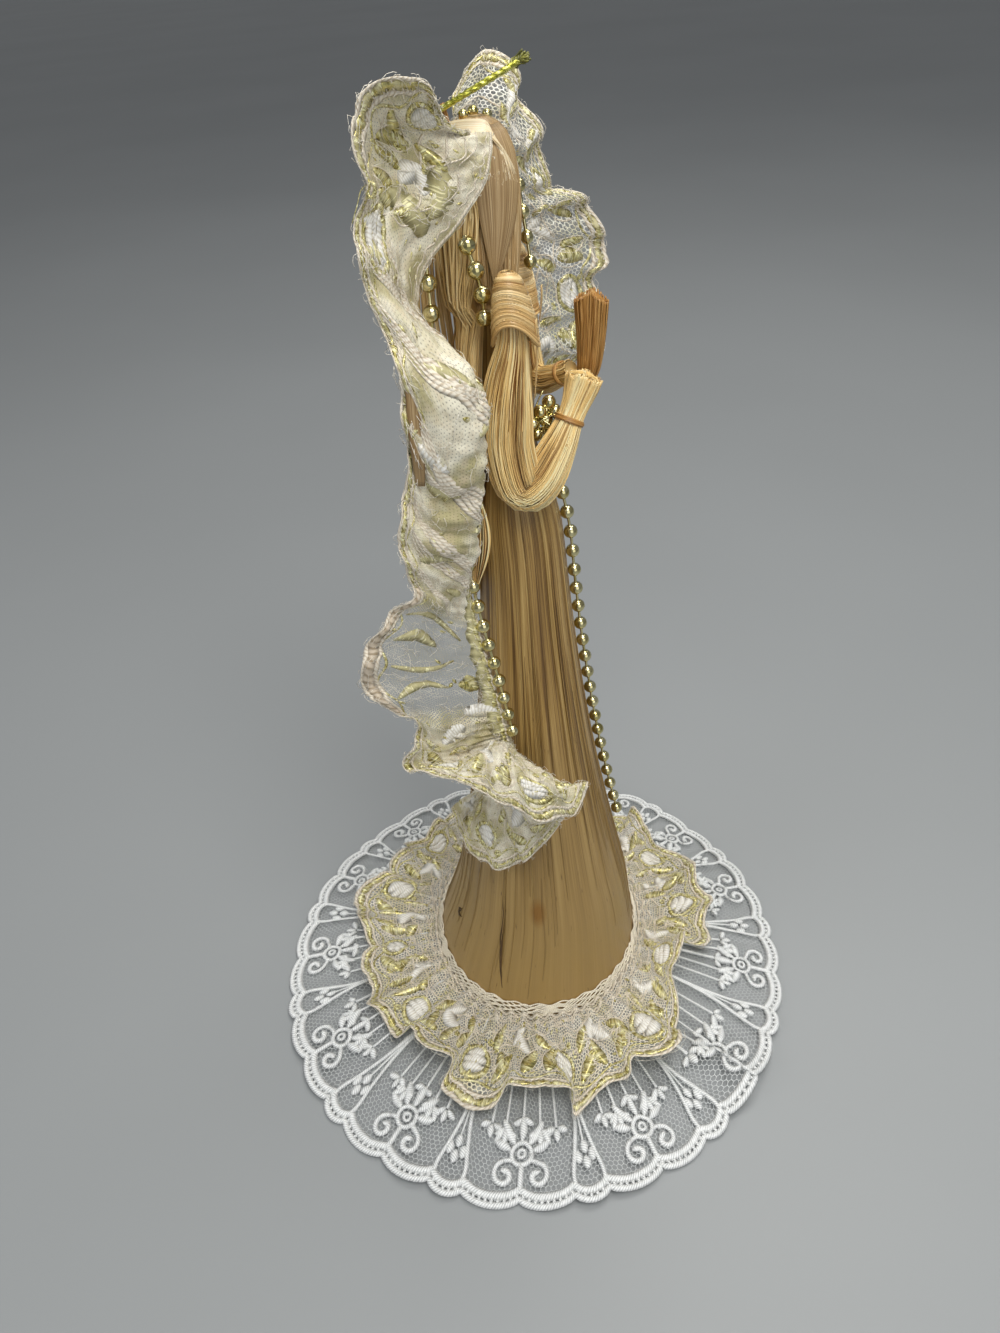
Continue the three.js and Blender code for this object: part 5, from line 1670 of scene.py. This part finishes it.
# Each wing is crumpled: its cloth is led by four lines, from the gathered root out to the scalloped edge.
# A row holds the photo's pixel and the place to the left for the root, inner, outer and edge line.
nearCloth = {
    "flatShare": 0.94, "ruffle": (0.4, 0.5), "fineRuffle": 0.75, "calm": (34, 52),
    "grow": 1.15, "rope": 1.3, "strip": 0.36, "fuzz": 2300, "glints": 90, "heavy": (92, 126, 0.3),
    "bare": [(40, 131)],
    # folds pressed into the cloth: place along and in from the edge at both ends, and width
    "folds": [
        (31, 2, 44, 21, 1.1), (37, 3, 47, 22, 1.3), (44, 1, 57, 20, 1.2), (49, 3, 55, 23, 1.0),
        (56, 2, 72, 17, 1.2), (63, 3, 70, 22, 1.0), (71, 2, 86, 19, 1.3), (79, 3, 90, 21, 1.1),
        (86, 2, 96, 16, 1.0),
    ],
    # leaves of the embroidery: place along and in from the edge, turn, length, width and bend
    "olive": [
        (15, 15, 14, 13, 6.5, 0.8), (27, 8, 70, 13, 6.5, 0.8), (37, 4, 82, 9, 4, 0.5),
        (50, 8, 80, 6.5, 2.4, 0.6), (57, 14, 105, 6, 2.6, 0.5), (66, 6, 75, 7, 2.6, 0.5),
        (75, 15, 95, 7, 2.8, 0.6), (84, 6, 100, 7, 3, 0.6), (90, 12, 80, 6, 2.4, 0.5),
        (101, 5, 74, 15, 2.2, 3.0), (107, 5, 84, 9, 2.8, 1.4), (113, 5.5, 96, 12, 1.7, -2.0),
        (121, 5, 100, 10, 1.7, 1.4),
    ],
    "gold": [(20, 4, 70, 7, 3, 0.4), (116, 19, 15, 4.6, 3.4, 0.3), (119, 17, 80, 4.2, 3, 0.2),
             (15, 12.5, 10, 5, 1.2, 0.2)],
    "white": [(33, 3, 70, 5, 2.6, 0.6), (62, 4, 85, 6, 3, 0.5), (127, 17, 92, 7, 4.4, 0.8),
              (132, 13, 66, 5.5, 3.6, 0.6)],
    "photoRows": [
        (493, 132, -8.5, 474, 131, -10.5, 456, 127, -13, 441, 114, -15),
        (494, 142, -8.8, 470, 138, -11.5, 444, 124, -15, 438, 101, -17.5),
        (494, 151, -9, 466, 147, -12.3, 430, 122, -15.5, 426, 84, -20),
        (493, 160, -9.3, 462, 156, -13, 417, 124, -15.5, 405, 73, -22.5),
        (492, 171, -9.8, 455, 166, -13.3, 406, 131, -15.5, 382, 76, -25),
        (488, 184, -10.3, 449, 177, -13.7, 399, 141, -15.8, 364, 92, -27),
        (481, 197, -10.8, 444, 187, -14, 395, 152, -16.2, 354, 116, -28.2),
        (473, 209, -11.2, 438, 197, -14.4, 393, 163, -16.8, 351, 140, -28.5),
        (465, 221, -11.5, 432, 206, -15, 391, 176, -17.6, 355, 163, -28),
        (456, 234, -11.8, 425, 215, -15.7, 388, 190, -18.8, 364, 184, -26.5),
        (440, 252, -12.3, 416, 224, -16.3, 385, 206, -20.3, 364, 205, -25),
        (430, 266, -12.6, 409, 238, -17, 381, 222, -21.5, 356, 222, -25.5),
        (423, 280, -12.8, 405, 256, -17.5, 378, 242, -22.3, 352, 240, -26.3),
        (420, 298, -12.5, 404, 282, -17.5, 384, 266, -23, 356, 260, -27),
        (420, 316, -12.4, 410, 306, -16.5, 392, 292, -24, 364, 286, -26),
        (428, 334, -12.3, 440, 338, -18.8, 408, 326, -26, 372, 312, -25.5),
        (435, 360, -12.4, 480, 376, -21, 424, 362, -27.5, 384, 338, -27),
        (438, 388, -12.6, 486, 408, -21.5, 438, 404, -28, 396, 364, -28),
        (442, 418, -13, 487, 440, -21.5, 444, 444, -28, 400, 396, -28.5),
        (446, 450, -13.6, 486, 472, -21.5, 438, 476, -27, 402, 428, -28.5),
        (451, 483, -14.4, 483, 504, -21, 430, 504, -26, 408, 462, -28),
        (457, 516, -15, 480, 536, -20.5, 429, 530, -26.5, 402, 500, -28.5),
        (464, 549, -15.2, 474, 562, -19.5, 428, 556, -26.5, 397, 538, -30),
        (470, 580, -15.3, 464, 588, -19, 434, 580, -25, 404, 568, -29.5),
        (477, 608, -15.3, 455, 606, -19, 438, 602, -25, 414, 594, -29),
        (484, 634, -15.2, 450, 628, -20, 420, 618, -26.5, 386, 622, -30.5),
        (491, 660, -15.1, 452, 656, -21, 408, 652, -28, 363, 655, -32),
        (498, 684, -15, 458, 682, -21.5, 410, 684, -28.5, 364, 692, -33),
        (504, 706, -14.9, 464, 708, -21.5, 424, 712, -28, 394, 712, -32),
        (509, 724, -14.8, 470, 732, -21, 438, 738, -27, 420, 728, -30),
        (513, 738, -14.7, 474, 752, -20.5, 440, 762, -27.5, 404, 768, -32),
        (514, 742, -14.7, 486, 752, -21, 462, 764, -28, 446, 778, -32),
        (514, 745, -14.7, 494, 742, -21, 484, 764, -28.5, 484, 794, -32),
        (514, 747, -14.6, 508, 748, -22, 508, 775, -29, 518, 812, -32),
        (513, 748, -14.6, 520, 758, -23, 532, 785, -29, 550, 824, -31),
        (512, 749, -14.6, 532, 766, -23.5, 556, 786, -28, 576, 812, -29),
        (511, 750, -14.6, 536, 770, -22.5, 562, 782, -25.5, 588, 786, -27),
        (510, 752, -14.6, 526, 780, -20, 548, 800, -22.5, 572, 806, -24),
        (508, 754, -14.6, 514, 790, -19, 532, 822, -21.5, 548, 840, -23),
        (506, 756, -14.6, 502, 796, -18.5, 508, 834, -21.5, 518, 864, -23),
        (504, 758, -14.6, 490, 798, -18.5, 486, 832, -21.5, 486, 866, -23.5),
        (502, 760, -14.6, 480, 796, -18.5, 468, 818, -21, 462, 840, -23),
        (500, 762, -14.6, 474, 790, -18, 460, 800, -20, 452, 808, -22),
    ],
}
farCloth = {
    "flatShare": 0.93, "ruffle": (0.4, 2.2), "fineRuffle": 0.9, "calm": (-2, -1),
    "grow": 1.0, "rope": 1.6, "strip": 1.0, "fuzz": 1600, "glints": 60, "heavy": (0, 0, 0),
    "bare": [(0, 12)], "folds": [], "olive": [], "gold": [],
    "white": [(16, 2, 80, 12, 3.4, 1.0), (24, 3, 60, 10, 3.6, 1.0)],
    "photoRows": [
        (452, 140, 5.5, 452, 126, 6, 452, 112, 7, 451, 98, 8),
        (462, 140, 6, 463, 120, 7, 464, 95, 9, 466, 70, 11),
        (474, 145, 6.5, 476, 122, 8, 480, 88, 11, 488, 48, 14),
        (484, 150, 7, 490, 126, 9, 498, 94, 12, 507, 56, 16),
        (490, 158, 7.5, 502, 132, 10, 510, 105, 13.5, 517, 82, 18),
        (492, 166, 8, 510, 142, 11.5, 521, 128, 15.5, 532, 113, 20),
        (493, 178, 8.5, 514, 160, 13, 528, 153, 17.5, 543, 149, 22),
        (492, 192, 9, 516, 182, 14.5, 534, 180, 19, 549, 180, 24),
        (491, 206, 9.5, 520, 200, 16, 544, 194, 21.5, 568, 190, 27.5),
        (489, 222, 10, 523, 218, 17, 556, 210, 24, 592, 206, 31.5),
        (487, 240, 10.5, 526, 238, 18, 562, 234, 26, 604, 232, 34.5),
        (486, 258, 11, 530, 258, 19, 566, 256, 27, 608, 260, 36),
        (486, 276, 11.5, 532, 276, 19.5, 564, 272, 27, 596, 272, 34),
        (486, 294, 12, 534, 298, 20, 566, 296, 28, 600, 296, 35),
        (486, 312, 12.3, 534, 322, 20, 566, 322, 28, 604, 326, 36),
        (488, 334, 12.5, 532, 346, 20, 562, 350, 27, 596, 356, 34),
    ],
    "hiddenFrom": 6,  # below these rows the wing keeps to the part's own root and edge points
}


def clothLines(cloth, wing):
    rows = [[fromPhoto(*row[k:k + 3]) for k in (0, 3, 6, 9)] for row in cloth["photoRows"]]
    if "hiddenFrom" in cloth:
        for root, edge in list(zip(wing["root"], wing["edge"]))[cloth["hiddenFrom"]:]:
            root, edge = np.array(root), np.array(edge)
            rows.append([root, root + 0.36 * (edge - root), root + 0.7 * (edge - root), edge])
    return np.array(rows).transpose(1, 0, 2)


def acrossAt(lines, v):
    # a smooth curve over the four lines at each place, v from 0 at the root to 1 at the edge
    first, last = 2 * lines[0] - lines[1], 2 * lines[-1] - lines[-2]
    p = np.stack([first, *lines, last])
    x = np.clip(v, 0, 1) * 3
    i = np.minimum(x.astype(int), 2)
    f = (x - i)[..., None]
    pick = lambda k: np.take_along_axis(p, (i + k)[None, ..., None], 0)[0]
    a, b, c, d = pick(0), pick(1), pick(2), pick(3)
    return 0.5 * (2 * b + (c - a) * f + (2 * a - 5 * b + 4 * c - d) * f**2 + (3 * b - a - 3 * c + d) * f**3)


def wingSurface(cloth, wing):
    places = shares(900)
    lines = clothLines(cloth, wing)
    edge = curveAt(lines[3], places)
    run = runAlong(edge)
    length = run[-1] * cloth["flatShare"]

    def flat(u, v):
        return acrossAt([curveAt(line, u) for line in lines], v)

    def surface(x, y):
        x, y = np.broadcast_arrays(np.asarray(x, float), np.asarray(y, float))
        u = np.interp(x / length * run[-1], run, places)
        v = 0.02 + 0.98 * (1 - y / wingLace["deep"])
        along = flat(np.clip(u + 0.004, 0, 1), v) - flat(np.clip(u - 0.004, 0, 1), v)
        across = flat(u, np.clip(v + 0.03, 0, 1)) - flat(u, np.clip(v - 0.03, 0, 1))
        normal = unit(np.cross(along, across))
        grow = np.clip(v, 0, 1.2)
        between = np.sin(np.clip(v, 0, 1) * math.pi)
        seen, hidden = cloth["ruffle"]
        ruffle = seen + (hidden - seen) * smoothStep(u, 0.6, 0.8)
        wave = ruffle * grow**1.4 * np.sin(u * wingLace["waves"] * tau)
        lively = 0.15 + 0.85 * smoothStep(x, *cloth["calm"])
        fine = np.sin(x / wingLace["finePitch"] * tau + 1.0 + 1.5 * v)
        wave = wave + lively * cloth["fineRuffle"] * grow**1.1 * fine
        crumple = np.sin(x * 0.9 + y * 0.35 + 2 * np.sin(y * 0.4))
        wave = wave + wingLace["crumple"] * crumple * between * lively
        fold = np.abs(np.sin(x * 0.21 + y * 0.33 + 0.8 * np.sin(x * 0.09 + 1)))
        wave = wave + (1.2 - 0.5 * lively) * (1 - fold) ** 3 * between
        # close pleats at the gathered root
        pleat = np.sin(x / wingLace["rootPitch"] * tau)
        wave = wave + 0.3 * lively * np.maximum(1 - grow, 0) ** 1.5 * pleat
        shift = 0.6 * lively * grow**2 * np.sin(x / wingLace["finePitch"] * tau + 2.4)
        return flat(u, v) + normal * wave[..., None] + unit(along) * shift[..., None]

    return surface, length


def buildWing(name, wing):
    cloth = {"right": nearCloth, "left": farCloth}[name]
    surface, length = wingSurface(cloth, wing)
    ribbon, deep = Shape(), wingLace["deep"]
    layCloth(ribbon, surface, length, deep, creamEdge, wingLace["columns"], wingLace["rows"], False)
    net = ribbon.make(f"{name}_wing_net", paints["denseNet" if name == "right" else "openNet"], "cream_lace",
                      [f"{name}_wing_lace"])
    rng = np.random.default_rng(91 if name == "right" else 92)
    pieces = embroiderCream(f"{name}_wing", surface, length, deep, "cream_lace", rng, cloth)
    if name == "right":
        pieces.append(looseThread())
        addEdgeBlade()


def looseThread():
    # a curl of gold thread in the wing's fold, and the white thread that hangs from it
    body = Shape()
    px, py, left = wingLace["curl"]
    turns = shares(16) * 1.8 * tau
    curl = [fromPhoto(px + 4 * math.sin(a), py - 8 * math.cos(a), left) for a in turns]
    body.strands(np.array(curl)[None], 0.28, nearSide, sides=5)
    hang = evenly([fromPhoto(*spot) for spot in wingLace["loose"]], 0.6)
    body.strands(hang[None], 0.09, nearSide)
    return body.make("right_wing_loose_thread", paints["goldThread"], "cream_lace")


def addEdgeBlade():
    # the end of the straw blade, which shows along the lace edge. It takes the lock's darker paint, as
    # painted shade for straw lying in the lace's shadow.
    body, count, steps = Shape(), 12, 24
    low, high = ([fromPhoto(*spot) for spot in wingLace[side]] for side in ("bladeLow", "bladeHigh"))
    k, f = shares(steps), shares(count)[:, None, None]
    lines = curveAt(low, k)[None] * (1 - f) + curveAt(high, k)[None] * f
    thick = 0.32 * taper(0.4, 0.4, steps) ** 0.5
    body.strands(lines, np.broadcast_to(thick, (count, steps)), np.array([-1.0, 0, 0.1]), flat=0.6)
    body.make("right_wing_blade_end", paints["lock"], "dark_straw")


blades = {
    "strands": 40, "steps": 30, "radius": 0.42, "from": 0.16, "along": 0.46, "reach": 0.4, "spine": 9.9,
    "right": {"behind": 2.9, "bow": 0.5},
    "left": {"behind": 3.7, "bow": 1.9},
}


def buildWingStraw(name, wing):
    # a blade of fibre from the middle of the back to behind the lace
    body, blade = Shape(), blades[name]
    count, steps = blades["strands"], blades["steps"]
    share = shares(count)
    k = shares(steps)
    u = blades["from"] + blades["along"] * k
    root = curveAt(wing["root"], u)
    toEdge = curveAt(wing["edge"], u) - root
    along = curveAt(wing["root"], u + 0.01) - curveAt(wing["root"], u - 0.01)
    normal = unit(np.cross(along, toEdge))
    back = normal * np.sign(normal[:, 1:2]) * blade["behind"]
    reach = blades["reach"] * np.sin(np.pi * (0.04 + 0.92 * k)) ** 0.6
    tip = root + toEdge * reach[:, None] + back
    spine = np.stack([0.8 * wing["side"] + 0 * k, blades["spine"] + 0 * k, (root + back)[:, 2]], 1)
    bow = np.sin(share * math.pi)[:, None, None] * np.array([0, blade["bow"], 0])
    rng = np.random.default_rng(95)
    lines = spine[None] + (tip - spine)[None] * share[:, None, None] + bow
    lines = lines + 0.25 * np.stack([0 * lines[..., 0], wander(count, 6, 96)(k), wander(count, 6, 97)(k)], -1)
    radius = blades["radius"] * rng.uniform(0.7, 1.3, count)[:, None] * taper(0.3, 0.3, steps) ** 0.4
    body.strands(lines, radius, np.array([0, 1.0, 0]), flat=0.5)
    body.make(f"{name}_wing_blade", paints["hair"], "dark_straw", [f"{name}_wing_straw"])


buildRingLace()
for wingName, wingPlan in wings.items():
    buildWing(wingName, wingPlan)
    buildWingStraw(wingName, wingPlan)
print("the gold lace and the wings are laid")
faces = [face for piece in bpy.data.objects if piece.type == "MESH" for face in piece.data.polygons]
print("triangles in all:", sum(len(face.vertices) - 2 for face in faces))
